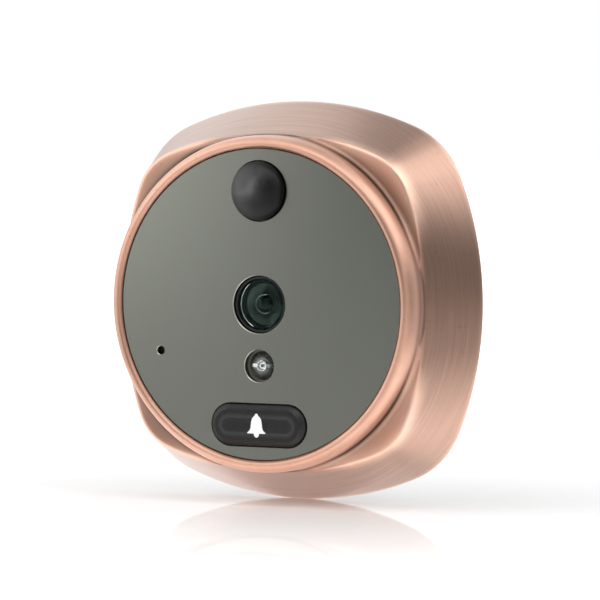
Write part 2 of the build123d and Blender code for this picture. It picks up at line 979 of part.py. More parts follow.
def led_lead_pair(grow):
    """Lead frame of the lamp: a leg with the reflector cup and a leg with a plain head."""
    half = led_lead / 2 + grow
    foot_y = tail_y + grow
    arm_y = cup_y + led_cup_depth
    leg_x = led_pitch / 2
    leg = block(2 * half, 2 * half, arm_y, foot_y)
    head_inner = led_cup_radius + led_arm_gap - grow
    head_outer = led_arm_reach + grow
    cup_arm = block(head_outer, 2 * half, arm_y - grow, arm_y + led_arm_height + grow)
    cup = rod(led_cup_radius + grow, cup_y - grow, cup_back + grow)
    head = block(head_outer - head_inner, 2 * half, cup_y - grow, arm_y + led_arm_height + grow)
    holding = cup + Pos(-head_outer / 2, 0, 0) * cup_arm + Pos(-leg_x, 0, 0) * leg
    plain = Pos((head_outer + head_inner) / 2, 0, 0) * head + Pos(leg_x, 0, 0) * leg
    return holding, plain


def make_led_body():
    """Clear lamp body with a domed front, cast round its lead frame."""
    dome_end = led_y + led_radius
    body = turned_edges(
        [
            quarter_arc((0, led_y), (led_radius, dome_end), (0, dome_end), led_radius),
            Polyline(
                (led_radius, dome_end),
                (led_radius, led_back - led_flange_thick),
                (led_flange_radius, led_back - led_flange_thick),
                (led_flange_radius, led_back),
                (0, led_back),
                (0, led_y),
            ),
        ]
    )
    for lead in led_lead_pair(led_cast_gap):
        body -= lead
    return at(led_spot, body)


def make_led_leads():
    """The two legs, one with a cup hollowed out for the die."""
    holding, plain = led_lead_pair(0)
    hollow = turned(
        [
            (0, cup_y - overrun),
            (led_cup_radius * 0.9, cup_y - overrun),
            (led_cup_radius * 0.9, cup_y),
            (led_cup_floor, cup_y + led_cup_depth),
            (0, cup_y + led_cup_depth),
        ]
    )
    return Compound(children=[at(led_spot, holding - hollow), at(led_spot, plain)])


def make_led_die():
    """Chip on the floor of the cup."""
    floor = cup_y + led_cup_depth
    return at(led_spot, block(led_die_width, led_die_width, floor - led_die_thick, floor))


def make_led_collar():
    """Soft dark sleeve that keeps the lamp's light out of the camera."""
    return at(led_spot, tube(collar_radius, collar_bore, ledge_y, collar_back))


def make_led_spacer():
    """Disc between the lamp and the board, with a hole for each leg."""
    disc = rod(led_flange_radius, led_back, board_y)
    side = led_lead + 2 * lead_hole_gap
    hole = block(side, side, led_back - overrun, board_y + overrun)
    return at(led_spot, cut_all(disc, hole, led_leg_spots()))


# Doorbell button
button_width = button_hole_width - 2 * button_play
button_height = button_hole_height - 2 * button_play
button_y = panel_y - button_proud
button_under = ledge_y - button_travel - button_stop_gap
hook_y = button_boss_back + hook_play
stem_back = hook_y + hook_length
switch_y = board_y - switch_body_height
cover_plate_y = switch_y - switch_cover_thick
plunger_y = cover_plate_y - plunger_height
push_gap = button_travel - plunger_travel + touch_gap


def make_button_cap():
    """Keycap: bevelled pill in the panel, hollow stem in the frame, hooks and a push post."""
    cap = slab(SlotOverall(button_width, button_height), button_y, button_under)
    front = cap.faces().sort_by(Axis.Y)[0]
    cap = chamfer(front.edges(), button_bevel)
    cap += slab(SlotOverall(stem_width, stem_height), button_under, stem_back)
    core_width = stem_width - 2 * button_stem_wall
    core_height = stem_height - 2 * button_stem_wall
    core = SlotOverall(core_width, core_height)
    cap -= slab(core, button_y + button_roof, stem_back + overrun)
    tip = plunger_y - push_gap
    cap += rod(post_tip_radius, button_y + button_roof / 2, tip)
    web_run = stem_width - button_stem_wall
    cap += block(web_run, web_thick, button_y + button_roof / 2, hook_y)
    root = stem_width / 2 - button_stem_wall / 2
    catch = stem_width / 2 + hook_reach
    wedge = make_face(Polyline((root, hook_y), (catch, hook_y), (root, stem_back), close=True))
    hook = extrude(wedge, amount=hook_width / 2, both=True)
    cap += hook
    cap += Rot(0, 180, 0) * hook
    return at(button_spot, cap)


def make_switch_body():
    """Moulded body of the tactile switch, with the well that the plunger's foot works in."""
    body = block(switch_width, switch_width, switch_y, board_y)
    well = plunger_foot_radius + plunger_play
    floor = switch_y + socket_gap + plunger_foot_thick + plunger_travel + touch_gap
    return at(button_spot, body - rod(well, switch_y - overrun, floor))


def make_switch_cover():
    """Steel plate on the switch, with a round hole for the plunger."""
    plate = block(switch_width, switch_width, cover_plate_y, switch_y)
    return at(button_spot, plate - rod(plunger_radius + plunger_play, cover_plate_y - overrun, board_y))


def make_switch_plunger():
    """Plunger that stands out of the switch, with a foot caught under the cover."""
    foot_y = switch_y + socket_gap
    return at(
        button_spot,
        rod(plunger_radius, plunger_y, foot_y + plunger_foot_thick)
        + rod(plunger_foot_radius, foot_y, foot_y + plunger_foot_thick),
    )


def terminal_spots():
    """Four legs, two on each side of the switch."""
    side = (switch_width + terminal_thick) / 2
    return [(x * side, z * terminal_pitch / 2) for x in (-1, 1) for z in (-1, 1)]


def make_switch_terminals():
    """Flat legs from the sides of the switch through the board."""
    leg = block(terminal_thick, terminal_width, board_y - switch_body_height / 2, tail_y)
    return spread(leg, around(button_spot, terminal_spots()))


# Microphone
capsule_y = boot_y + boot_floor


def make_mic_mesh():
    """Fine disc of mesh behind the hole in the panel."""
    return at(mic_spot, rod(mesh_radius, ledge_y - mesh_thick, ledge_y))


def make_mic_boot():
    """Rubber cup round the microphone, with a hole in its floor."""
    cup = rod(boot_radius, boot_y, boot_back)
    cup -= rod(mic_radius + mic_play, capsule_y, boot_back + overrun)
    return at(mic_spot, cup - rod(sound_hole_radius, boot_y - overrun, boot_back))


def make_mic_capsule():
    """Round microphone with the sound inlet in its front."""
    capsule = rod(mic_radius, capsule_y, capsule_y + mic_length)
    inlet = rod(mic_hole_radius, capsule_y - overrun, capsule_y + mesh_thick)
    return at(mic_spot, capsule - inlet)


def mic_lead_spots():
    """Two wires side by side."""
    return [(mic_lead_pitch / 2, 0), (-mic_lead_pitch / 2, 0)]


def make_mic_leads():
    """Two wires from the microphone through the board."""
    wire = rod(lead_radius, capsule_y + mic_length, tail_y)
    return spread(wire, around(mic_spot, mic_lead_spots()))


# Main board
def make_main_board():
    """Board with the outline of the case, drilled for screws, wires and legs."""
    board = slab(pillow_inset(case_width / 2 - board_reach), board_y, board_back)
    front = board_y - overrun
    back = board_back + overrun
    screw_hole = rod(screw_radius + screw_hole_gap, front, back)
    board = cut_all(board, screw_hole, post_spots + ear_spots)
    wire_hole = rod(lead_radius + lead_hole_gap, front, back)
    wires = around(pir_spot, lead_spots()) + around(mic_spot, mic_lead_spots())
    board = cut_all(board, wire_hole, wires)
    lamp_hole = rod(led_lead * 0.75 + lead_hole_gap, front, back)
    board = cut_all(board, lamp_hole, around(led_spot, led_leg_spots()))
    width = terminal_thick + 2 * lead_hole_gap
    height = terminal_width + 2 * lead_hole_gap
    leg_hole = block(width, height, front, back)
    return cut_all(board, leg_hole, around(button_spot, terminal_spots()))


def rear_part(width, height, thick, spot):
    """Square component soldered to the rear side of the board."""
    return at(spot, block(width, height, board_back, board_back + thick))


def make_inductor():
    """Power inductor: square base and a round core."""
    base = block(inductor_width, inductor_width, board_back, board_back + inductor_thick / 3)
    core = rod(inductor_width * 0.45, board_back, board_back + inductor_thick)
    return at((-inductor_left, -inductor_down), base + core)


def chip_row(x, z):
    """One row of small two-ended components."""
    chip = block(chip_width, chip_height, board_back, board_back + chip_thick)
    half = (chip_row_count - 1) / 2
    chip = chip.rotate(Axis.Y, 90)
    step = chip_height + chip_gap
    return [at((x + (i - half) * step, z), chip) for i in range(chip_row_count)]


def make_capacitors():
    """Two rows of ceramic capacitors."""
    rows = chip_row(-chip_row_side, chip_row_up) + chip_row(chip_row_side, -chip_row_down)
    return Compound(children=rows)


def make_resistors():
    """One row of chip resistors."""
    return Compound(children=chip_row(-chip_row_side, -chip_row_down))


def make_cable_header():
    """Open box that the cable's plug goes into, facing the slot in the spigot."""
    body = block(header_width, header_height, board_back, cover_y - header_gap)
    well_width = header_width - 2 * header_wall
    well_height = header_height - 2 * header_wall
    return body - block(well_width, well_height, board_back + header_wall, cover_y)


def make_header_contacts():
    """Row of pins that stand in the header."""
    floor = board_back + header_wall
    pin = block(contact_width, contact_width, floor, floor + contact_length)
    half = (contact_count - 1) / 2
    step = contact_width + contact_gap
    return spread(pin, [(0, (i - half) * step) for i in range(contact_count)])


# Back cover and what meets the door
def make_back_cover():
    """Cast cover with the spigot for the door's hole, a cable slot and two tapped holes."""
    cover = slab(pillow_inset(case_width / 2 - cover_seat + cover_play), cover_y, rim_y)
    cover += turned(
        [
            (0, cover_y),
            (spigot_radius, cover_y),
            (spigot_radius, spigot_length - spigot_chamfer),
            (spigot_radius - spigot_chamfer, spigot_length),
            (0, spigot_length),
        ]
    )
    cover -= tube(gasket_outer, gasket_inner, -gasket_thick, rim_y + overrun)
    slot = RectangleRounded(cable_slot_width, cable_slot_height, cable_slot_corner)
    cover -= slab(slot, cover_y - overrun, spigot_length + overrun)
    tapped = rod(mount_screw_radius, cover_y - overrun, spigot_length + overrun)
    cover = cut_all(cover, tapped, [(mount_screw_reach, 0), (-mount_screw_reach, 0)])
    clear = screw_radius + screw_hole_gap
    sink = head_radius + screw_hole_gap
    countersink = turned(
        [
            (0, cover_y - overrun),
            (clear, cover_y - overrun),
            (clear, rim_y - sink + clear),
            (sink, rim_y),
            (sink, rim_y + overrun),
            (0, rim_y + overrun),
        ]
    )
    return cut_all(cover, countersink, cover_boss_spots)


def make_cover_seal():
    """Flat seal between the cover and the ledge of the case."""
    outer = pillow_inset(case_width / 2 - cover_seat + cover_seal_play)
    inner = pillow_inset(inset_at(seal_y) + case_wall - cover_seal_play)
    return slab(outer - inner, seal_y, cover_y)


def make_door_gasket():
    """Foam ring in the groove of the cover, standing proud of the rim to meet the door."""
    return tube(gasket_outer - gasket_play, gasket_inner + gasket_play, -gasket_thick, 0)


parts = {
    "case": make_case(),
    "face_panel": make_face_panel(),
    "panel_adhesive": make_panel_glue(),
    "inner_frame": make_inner_frame(),
    "frame_screws": spread(pan_screw(lug_back, frame_screw_length), frame_boss_spots),
    "pir_lens": at(pir_spot, make_pir_lens()),
    "pir_can": make_pir_can(),
    "pir_window": make_pir_window(),
    "pir_header": make_pir_header(),
    "pir_spacer": make_pir_spacer(),
    "pir_leads": make_pir_leads(),
    "lens_barrel": make_lens_barrel(),
    "lens_front_glass": make_front_glass(),
    "lens_spacer_ring": make_lens_spacer(),
    "aperture_stop": make_aperture_stop(),
    "lens_rear_glass": make_rear_glass(),
    "lens_rear_ring": make_rear_ring(),
    "lens_seal": make_lens_seal(),
    "lens_holder": make_lens_holder(),
    "holder_screws": spread(pan_screw(board_back, holder_screw_length), ear_spots),
    "infrared_filter": make_cut_filter(),
    "image_sensor": make_image_sensor(),
    "led_body": make_led_body(),
    "led_leads": make_led_leads(),
    "led_die": make_led_die(),
    "led_collar": make_led_collar(),
    "led_spacer": make_led_spacer(),
    "button_cap": make_button_cap(),
    "switch_body": make_switch_body(),
    "switch_cover": make_switch_cover(),
    "switch_plunger": make_switch_plunger(),
    "switch_terminals": make_switch_terminals(),
    "mic_mesh": make_mic_mesh(),
    "mic_boot": make_mic_boot(),
    "mic_capsule": make_mic_capsule(),
    "mic_leads": make_mic_leads(),
    "main_board": make_main_board(),
    "board_screws": spread(pan_screw(board_back, board_screw_length), post_spots),
    "processor_chip": rear_part(
        processor_width, processor_width, processor_thick, (processor_right, processor_up)
    ),
    "memory_chip": rear_part(memory_width, memory_height, memory_thick, (-memory_left, memory_up)),
    "power_inductor": make_inductor(),
    "crystal_can": rear_part(crystal_width, crystal_height, crystal_thick, (crystal_right, crystal_up)),
    "capacitors": make_capacitors(),
    "resistors": make_resistors(),
    "cable_header": make_cable_header(),
    "header_contacts": make_header_contacts(),
    "back_cover": make_back_cover(),
    "cover_seal": make_cover_seal(),
    "cover_screws": spread(sunk_screw(rim_y, cover_screw_length), cover_boss_spots),
    "door_gasket": make_door_gasket(),
}

os.makedirs("parts", exist_ok=True)
for name, shape in parts.items():
    export_step(shape, f"parts/{name}.step")
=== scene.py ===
import math
import bmesh
import bpy
import numpy as np
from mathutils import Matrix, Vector


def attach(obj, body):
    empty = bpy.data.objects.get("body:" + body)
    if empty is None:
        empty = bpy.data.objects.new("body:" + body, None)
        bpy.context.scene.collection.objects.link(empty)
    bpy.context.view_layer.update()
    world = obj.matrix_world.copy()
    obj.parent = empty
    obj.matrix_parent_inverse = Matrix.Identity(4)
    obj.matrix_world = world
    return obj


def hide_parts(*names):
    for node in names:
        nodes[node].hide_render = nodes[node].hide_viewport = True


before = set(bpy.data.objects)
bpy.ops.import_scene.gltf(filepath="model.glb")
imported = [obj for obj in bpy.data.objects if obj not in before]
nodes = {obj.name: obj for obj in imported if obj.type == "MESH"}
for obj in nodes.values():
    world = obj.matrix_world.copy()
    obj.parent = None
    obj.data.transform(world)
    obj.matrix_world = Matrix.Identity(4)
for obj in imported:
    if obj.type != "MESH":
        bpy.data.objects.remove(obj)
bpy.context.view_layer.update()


# Case. Zinc, die cast in one piece: walls that narrow towards the street, dished corner
# shoulders and a raised bead ring round the panel. It is plated with copper, darkened, and
# brushed along its outline, so recesses stay grey-brown and edges are rubbed bright. Its creases
# get painted shade, its left side painted shade, and its right edges a painted highlight.
# every size is in millimetres, and y is 0 at the door and falls towards the street
mm = 0.001
rim_y = -0.4
seal_y = -2.5
roof_y = -10.7
dish_y = -12.25
shoulder_y = -12.5
ledge_back = -13.8
ledge_y = -15.3
bead_top = -17.4
case_reach = 35.0
waist_reach = 28.85
case_draft = (case_reach - waist_reach) / (rim_y - shoulder_y)
side_bulge = 58.0
case_corner = 15.5
corner_swell = 1.0
case_wall = 2.3
cover_inset = 2.4
crest_radius = 27.7
foot_radius = 29.1
bore_radius = 26.97
pocket_radius = 27.2
ledge_radius = 26.0
bead_inner_drop = 0.915
bead_outer_drop = 2.5
cove_radius = 0.9
dish_width = 2.35
dish_sink = 0.05
dish_lift = 0.36
edge_round = 0.6
edge_round_share = 0.45
rim_round = 0.35
touching = 1e-6
double_gap = 1e-4
edge_rows = 10
rim_rows = 5
case_columns = 640
crisp_angle = 35


def drawn_in(depth):
    """How far the draft has drawn the outline in at a depth: the draft times the distance."""
    return case_draft * (rim_y - depth)


def outline_reach(turn, inset):
    """Distance from the axis to the rounded square that is drawn in by an inset.

    Near the middle of a side it is a circle about a centre beyond the axis, and near a
    diagonal a circle about a centre on the diagonal; both are solved for the ray.
    """
    shift = side_bulge - case_reach
    span = side_bulge - case_corner
    centre = (math.sqrt(2 * span**2 - shift**2) - shift) / 2
    ray = np.abs((turn + math.pi / 4) % (math.pi / 2) - math.pi / 4)
    meet = math.atan2(centre, centre + shift)
    side = side_bulge - inset
    limit = np.arctan2(side * math.sin(meet), side * math.cos(meet) - shift)
    flat = -shift * np.cos(ray) + np.sqrt(side**2 - (shift * np.sin(ray)) ** 2)
    off = math.pi / 4 - ray
    bent = (case_corner - inset) ** 2 - 2 * (centre * np.sin(off)) ** 2
    corner = centre * math.sqrt(2) * np.cos(off) + np.sqrt(np.maximum(bent, 0))
    return np.where(ray < limit, flat, corner)


def wall_reach(turn, depth):
    """Reach of the outer wall at a depth: the drawn-in outline, swollen a little on the diagonals.

    The swell is the squared sine of twice the angle, and grows from none at the rim.
    """
    part = (rim_y - depth) / (rim_y - shoulder_y)
    return outline_reach(turn, drawn_in(depth)) + corner_swell * part * np.sin(2 * turn) ** 2


def dish_at(radius):
    """Depth of the dished shoulder: it sinks evenly from the cove, and lifts with the square."""
    part = np.maximum(radius - foot_radius - cove_radius, 0) / dish_width
    return dish_y + dish_sink * part - dish_lift * part**2


def along(first, last, steps, power=1.0):
    """Rows from a first value towards a last one, without it; a power above 1 crowds the start."""
    part = np.linspace(0, 1, steps, endpoint=False)[:, None] ** power
    return first + (last - first) * part


def straight(first, last, y_first, y_last, steps):
    """Rows of a straight run: radius and depth both go evenly from first to last."""
    return along(first, last, steps), along(y_first, y_last, steps)


def bend(first, corner, last, steps):
    """Rows of a quadratic curve that leaves first towards corner and arrives at last."""
    part = np.linspace(0, 1, steps, endpoint=False)[:, None]
    return first * (1 - part) ** 2 + 2 * corner * part * (1 - part) + last * part**2


def case_section(columns):
    """The case's closed section at every angle, as stretches of rows of radius and depth.

    It climbs over the bead, drops down its flank into the cove, crosses the dish, rounds the
    shoulder's edge and follows the wall to the rim, then comes back inside to the bore.
    Returns the angles, radius, depth, the way run along the section, the first row of each
    stretch, and how wide the shoulder is.
    """
    turn = np.linspace(0, 2 * math.pi, columns, endpoint=False)[None, :]
    climb = along(0, math.pi / 2, 14)
    fall = along(math.pi / 2, 0, 30)
    swing = math.pi - along(0, math.pi / 2, 14)
    cove_y = dish_y - cove_radius + cove_radius * np.sin(swing)
    cove = foot_radius + cove_radius + cove_radius * np.cos(swing)
    cove = np.maximum(foot_radius, np.minimum(cove, wall_reach(turn, cove_y)))
    dish_start = np.clip(wall_reach(turn, dish_y), foot_radius, foot_radius + cove_radius)
    # the shoulder's edge is where the dish meets the wall, and four rounds settle it
    edge = wall_reach(turn, shoulder_y)
    for _ in range(4):
        edge = wall_reach(turn, dish_at(edge))
    width = np.maximum(edge - dish_start, 0) * (dish_start > foot_radius + cove_radius - touching)
    edge = dish_start + width
    round_off = np.minimum(edge_round, edge_round_share * width)
    dish = along(dish_start, edge - round_off, 16)
    wall_y = dish_at(edge) + round_off
    wall_start = np.maximum(foot_radius, wall_reach(turn, wall_y))
    wall_depth = along(wall_y, rim_y - rim_round, 34, power=1.5)
    wall = np.maximum(foot_radius, wall_reach(turn, wall_depth))
    back = outline_reach(turn, 0.0)
    seat = outline_reach(turn, cover_inset)
    mouth = outline_reach(turn, drawn_in(seal_y) + case_wall)
    inner_y = along(seal_y, roof_y, 8)
    inner = outline_reach(turn, drawn_in(inner_y) + case_wall)
    roof = outline_reach(turn, drawn_in(roof_y) + case_wall)
    stretches = {
        "bead_inside": (
            crest_radius - (crest_radius - bore_radius) * np.cos(climb),
            bead_top + bead_inner_drop * (1 - np.sin(climb)),
        ),
        "bead_outside": (
            crest_radius + (foot_radius - crest_radius) * np.cos(fall),
            bead_top + bead_outer_drop * (1 - np.sin(fall)),
        ),
        "flank": straight(foot_radius, foot_radius, bead_top + bead_outer_drop, dish_y - cove_radius, 6),
        "cove": (cove, cove_y),
        "dish": (dish, dish_at(dish)),
        "edge": (
            bend(edge - round_off, edge, wall_start, edge_rows),
            bend(dish_at(edge - round_off), dish_at(edge), wall_y, edge_rows),
        ),
        "wall": (wall, wall_depth),
        "rim": (
            bend(wall_reach(turn, rim_y - rim_round), back, back - rim_round, rim_rows),
            bend(rim_y - rim_round, rim_y, rim_y, rim_rows),
        ),
        "door_face": straight(back - rim_round, seat, rim_y, rim_y, 2),
        "cover_side": straight(seat, seat, rim_y, seal_y, 2),
        "cover_seat": straight(seat, mouth, seal_y, seal_y, 2),
        "inner_wall": (inner, inner_y),
        "roof": straight(roof, pocket_radius, roof_y, roof_y, 3),
        "pocket": straight(pocket_radius, pocket_radius, roof_y, ledge_back, 3),
        "ledge_back": straight(pocket_radius, ledge_radius, ledge_back, ledge_back, 2),
        "ledge_lip": straight(ledge_radius, ledge_radius, ledge_back, ledge_y, 2),
        "ledge": straight(ledge_radius, bore_radius, ledge_y, ledge_y, 2),
        "bore": straight(bore_radius, bore_radius, ledge_y, bead_top + bead_inner_drop, 4),
    }
    one = np.ones_like(turn)
    radius = np.concatenate([rows * one for rows, _ in stretches.values()])
    depth = np.concatenate([rows * one for _, rows in stretches.values()])
    counts = [len(rows) for rows, _ in stretches.values()]
    first_row = dict(zip(stretches, np.cumsum([0] + counts)))
    run = np.cumsum(np.hypot(np.diff(radius, axis=0), np.diff(depth, axis=0)), axis=0)
    run = np.concatenate([0 * one, run])
    return turn, radius, depth, run, first_row, width


def skin(name, grid, marks=None):
    """Closed mesh from a grid of points in millimetres, rows along the profile, columns round.

    Columns always close up. Rows close up too, unless the first and last rows lie on an axis
    or a line, where the doubled points are merged and shut the surface. Marks are numbers
    from 0 to 1, or lengths, that a material reads at each point.
    """
    rows, columns = grid.shape[:2]
    row = np.arange(rows)[:, None]
    column = np.arange(columns)[None, :]
    right = (column + 1) % columns
    below = (row + 1) % rows
    corners = [
        row * columns + column,
        row * columns + right,
        below * columns + right,
        below * columns + column,
    ]
    faces = np.stack(corners, axis=-1).reshape(-1, 4)
    mesh = bpy.data.meshes.new(name)
    mesh.from_pydata((grid.reshape(-1, 3) * mm).tolist(), [], faces.tolist())
    for label, values in (marks or {}).items():
        layer = mesh.attributes.new(label, "FLOAT", "POINT")
        spread = np.broadcast_to(values, (rows, columns)).ravel()
        layer.data.foreach_set("value", spread.astype(np.float32))
    build = bmesh.new()
    build.from_mesh(mesh)
    bmesh.ops.remove_doubles(build, verts=build.verts, dist=double_gap * mm)
    bmesh.ops.recalc_face_normals(build, faces=build.faces)
    build.to_mesh(mesh)
    build.free()
    mesh.shade_smooth()
    mesh.set_sharp_from_angle(angle=math.radians(crisp_angle))
    piece = bpy.data.objects.new(name, mesh)
    bpy.context.scene.collection.objects.link(piece)
    return piece


def ridge(distance, width):
    """Bell curve over a distance: 1 on the line itself, and 1/e of it a width away."""
    return np.exp(-((distance / width) ** 2))


turn, radius, depth, run, first_row, shoulder_width = case_section(case_columns)
foot_run = run[first_row["cove"]][None, :]
edge_run = run[first_row["edge"] + edge_rows // 2][None, :]
rim_run = run[first_row["rim"] + rim_rows // 2][None, :]
# 1 at the case's right and -1 at its left: the marks below use it to paint shade on the left side and a
# highlight on the right
to_right = np.cos(turn)
full_shoulder = 1.2
shoulder = np.clip(shoulder_width / full_shoulder, 0, 1)
# painted shade: dark lines along the bore, at the bead's foot, and where the wall's middle meets the
# bead, where the creases fall into shade
bore_shade = 0.3
foot_shade = 0.85
foot_shade_at = 0.7
foot_shade_lean = 0.8
join_shade = 0.4
join_width = 0.6
join_y = rim_y - (case_reach - foot_radius) / case_draft
narrow = wall_reach(turn, shoulder_y) < foot_radius + join_width
join_line = ridge(depth - join_y, join_shade) * narrow * (radius < foot_radius + join_width / 2)
# the foot's painted shade sits nearer the bead on the right than on the left, and is fainter where the
# shoulder is narrow
foot_line = ridge(run - foot_run - foot_shade_at + foot_shade_lean * to_right, foot_shade)
foot_line *= 0.5 + 0.45 * shoulder
crease_shade = 0.45 * ridge(run, bore_shade) + foot_line + 0.5 * join_line
# the film is patina that covers the dish from just inside the bead's foot, and thins out towards the
# edge; it is laid heavier to the left and not at all on the right, which paints shade on the left side
least_dish = 0.5
outward = (run - foot_run) / np.maximum(edge_run - foot_run, least_dish)
patina_and_shade = np.clip(1.6 - 1.7 * outward, 0, 1) * (outward > -0.6) * shoulder * 0.5 * (1 - to_right)
# the shoulder's edge and the rim are rubbed bright, and the brush marks start at that edge; the
# shoulder's rubbed band is also wider and brighter on the right, a painted highlight
edge_rub = 1.1
edge_highlight_lean = 0.85
rim_rub = 0.5
brush_fade = 0.8
wear_and_highlight = ridge(run - edge_run, edge_rub + edge_highlight_lean * to_right) * shoulder * (0.7 + 0.1 * to_right)
wear_and_highlight += 0.5 * ridge(run - rim_run, rim_rub)
case = skin(
    "case_shell",
    np.stack([radius * np.cos(turn), depth, radius * np.sin(turn)], axis=-1),
    {
        "crease_shade": np.clip(crease_shade, 0, 1),
        "patina_and_shade": patina_and_shade,
        "wear_and_highlight": np.clip(wear_and_highlight, 0, 1),
        "brushed": np.clip((run - edge_run) / brush_fade, 0, 1),
        "run": run,
    },
)
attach(case, "housing")
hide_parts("case")


def tone(code):
    """Linear colour from an sRGB hex code: the curve of the sRGB standard, channel by channel."""
    parts = [int(code[at:at + 2], 16) / 255 for at in (1, 3, 5)]
    linear = [part / 12.92 if part <= 0.04045 else ((part + 0.055) / 1.055) ** 2.4 for part in parts]
    return (*linear, 1.0)


def add(tree, kind, sockets=None, **settings):
    """Adds one node: sets its properties, then fills its sockets with values or with links."""
    made = tree.nodes.new(kind)
    for key, value in settings.items():
        setattr(made, key, value)
    for key, value in (sockets or {}).items():
        if isinstance(value, bpy.types.NodeSocket):
            tree.links.new(value, made.inputs[key])
        else:
            made.inputs[key].default_value = value
    return made


def new_finish(name):
    """New material with a principled surface. Returns the material, its tree and the shader."""
    material = bpy.data.materials.new(name)
    material.use_nodes = True
    tree = material.node_tree
    return material, tree, tree.nodes["Principled BSDF"]


def dress(piece, finish):
    """Gives a new piece, or a node of the frame, its one material."""
    piece.data.materials.clear()
    piece.data.materials.append(finish)


def copper_plating():
    """Copper plating on zinc, darkened, brushed and lacquered.

    The eye gets long streaks round the outline, grey-brown film where the brush doesn't reach,
    rubbed peach edges that are brighter on the right as a painted highlight, dark painted shade in
    the creases, and the pale veil of the lacquer, which is thinned where that shade is painted, to darken
    it.
    """
    material, tree, shader = new_finish("copper_plating_antiqued_brushed")
    place = add(tree, "ShaderNodeTexCoord").outputs["Object"]
    mark = {
        name: add(tree, "ShaderNodeAttribute", attribute_name=name).outputs["Fac"]
        for name in ("run", "crease_shade", "patina_and_shade", "wear_and_highlight", "brushed")
    }
    # brush marks 0.14 mm wide and 12 mm long, laid along the outline of the case: the real
    # ones are finer, and these are as coarse as it takes for them to show
    split = add(tree, "ShaderNodeSeparateXYZ", {0: place})
    across = add(tree, "ShaderNodeMath", {0: mark["run"], 1: 7.0}, operation="MULTIPLY")
    east = add(tree, "ShaderNodeMath", {0: split.outputs["X"], 1: 80.0}, operation="MULTIPLY")
    north = add(tree, "ShaderNodeMath", {0: split.outputs["Z"], 1: 80.0}, operation="MULTIPLY")
    strokes_at = add(
        tree,
        "ShaderNodeCombineXYZ",
        {0: east.outputs[0], 1: across.outputs[0], 2: north.outputs[0]},
    ).outputs[0]
    strokes = add(
        tree,
        "ShaderNodeTexNoise",
        {"Vector": strokes_at, "Scale": 1.0, "Detail": 5.0, "Roughness": 0.65},
    ).outputs["Fac"]
    strokes = add(
        tree, "ShaderNodeMapRange", {"Value": strokes, "From Min": 0.3, "From Max": 0.7}
    ).outputs[0]
    # clouds of 11 mm in the bath's darkening, and pits of 1 mm
    cloud = add(
        tree,
        "ShaderNodeTexNoise",
        {"Vector": place, "Scale": 90.0, "Detail": 4.0, "Roughness": 0.6},
    ).outputs["Fac"]
    cloud = add(
        tree, "ShaderNodeMapRange", {"Value": cloud, "From Min": 0.35, "From Max": 0.65}
    ).outputs[0]
    specks = add(
        tree, "ShaderNodeTexNoise", {"Vector": place, "Scale": 900.0, "Detail": 2.0}
    ).outputs["Fac"]
    specks = add(
        tree, "ShaderNodeMapRange", {"Value": specks, "From Min": 0.68, "From Max": 0.76}
    ).outputs[0]
    streak = add(
        tree, "ShaderNodeMath", {0: strokes, 1: mark["brushed"]}, operation="MULTIPLY"
    ).outputs[0]
    spotted = add(tree, "ShaderNodeMath", {0: specks, 1: 0.3}, operation="MULTIPLY").outputs[0]
    film = add(tree, "ShaderNodeMath", {0: mark["patina_and_shade"], 1: 0.9}, operation="MULTIPLY").outputs[0]
    bead = add(
        tree,
        "ShaderNodeMix",
        {"Factor": cloud, 6: tone("#c6967f"), 7: tone("#d0a18b")},
        data_type="RGBA",
    ).outputs[2]
    walls = add(
        tree,
        "ShaderNodeMix",
        {"Factor": streak, 6: tone("#b68f7c"), 7: tone("#967767")},
        data_type="RGBA",
    ).outputs[2]
    base = add(
        tree, "ShaderNodeMix", {"Factor": mark["brushed"], 6: bead, 7: walls}, data_type="RGBA"
    ).outputs[2]
    # the crease mark paints dark shade into the creases; the film is patina that also paints shade on the
    # left side, and the rubbed edges also paint a highlight on the right
    for share, colour in (
        (spotted, "#7a5745"),
        (film, "#6e6057"),
        (mark["crease_shade"], "#2f2824"),
        (mark["wear_and_highlight"], "#e8c0aa"),
    ):
        base = add(
            tree, "ShaderNodeMix", {"Factor": share, 6: base, 7: tone(colour)}, data_type="RGBA"
        ).outputs[2]
    rough = add(
        tree, "ShaderNodeMapRange", {"Value": mark["brushed"], "To Min": 0.46, "To Max": 0.31}
    ).outputs[0]
    rough = add(
        tree, "ShaderNodeMath", {0: streak, 1: 0.08, 2: rough}, operation="MULTIPLY_ADD"
    ).outputs[0]
    height = add(
        tree, "ShaderNodeMath", {0: streak, 1: cloud, 2: 0.15}, operation="MULTIPLY_ADD"
    ).outputs[0]
    bump = add(
        tree, "ShaderNodeBump", {"Height": height, "Strength": 0.12, "Distance": 0.00004}
    ).outputs[0]
    # the coat is thinned where the crease shade is painted, which makes that painted shade darker
    lacquer = add(
        tree, "ShaderNodeMapRange", {"Value": mark["crease_shade"], "To Min": 0.7, "To Max": 0.1}
    ).outputs[0]
    grain = add(tree, "ShaderNodeTangent", direction_type="RADIAL", axis="Y").outputs[0]
    tree.links.new(base, shader.inputs["Base Color"])
    tree.links.new(rough, shader.inputs["Roughness"])
    tree.links.new(bump, shader.inputs["Normal"])
    tree.links.new(grain, shader.inputs["Tangent"])
    tree.links.new(lacquer, shader.inputs["Coat Weight"])
    shader.inputs["Metallic"].default_value = 1.0
    shader.inputs["Anisotropic"].default_value = 0.6
    shader.inputs["Anisotropic Rotation"].default_value = 0.25
    shader.inputs["Coat Roughness"].default_value = 0.35
    shader.inputs["Coat IOR"].default_value = 1.55
    return material


copper = copper_plating()
dress(case, copper)


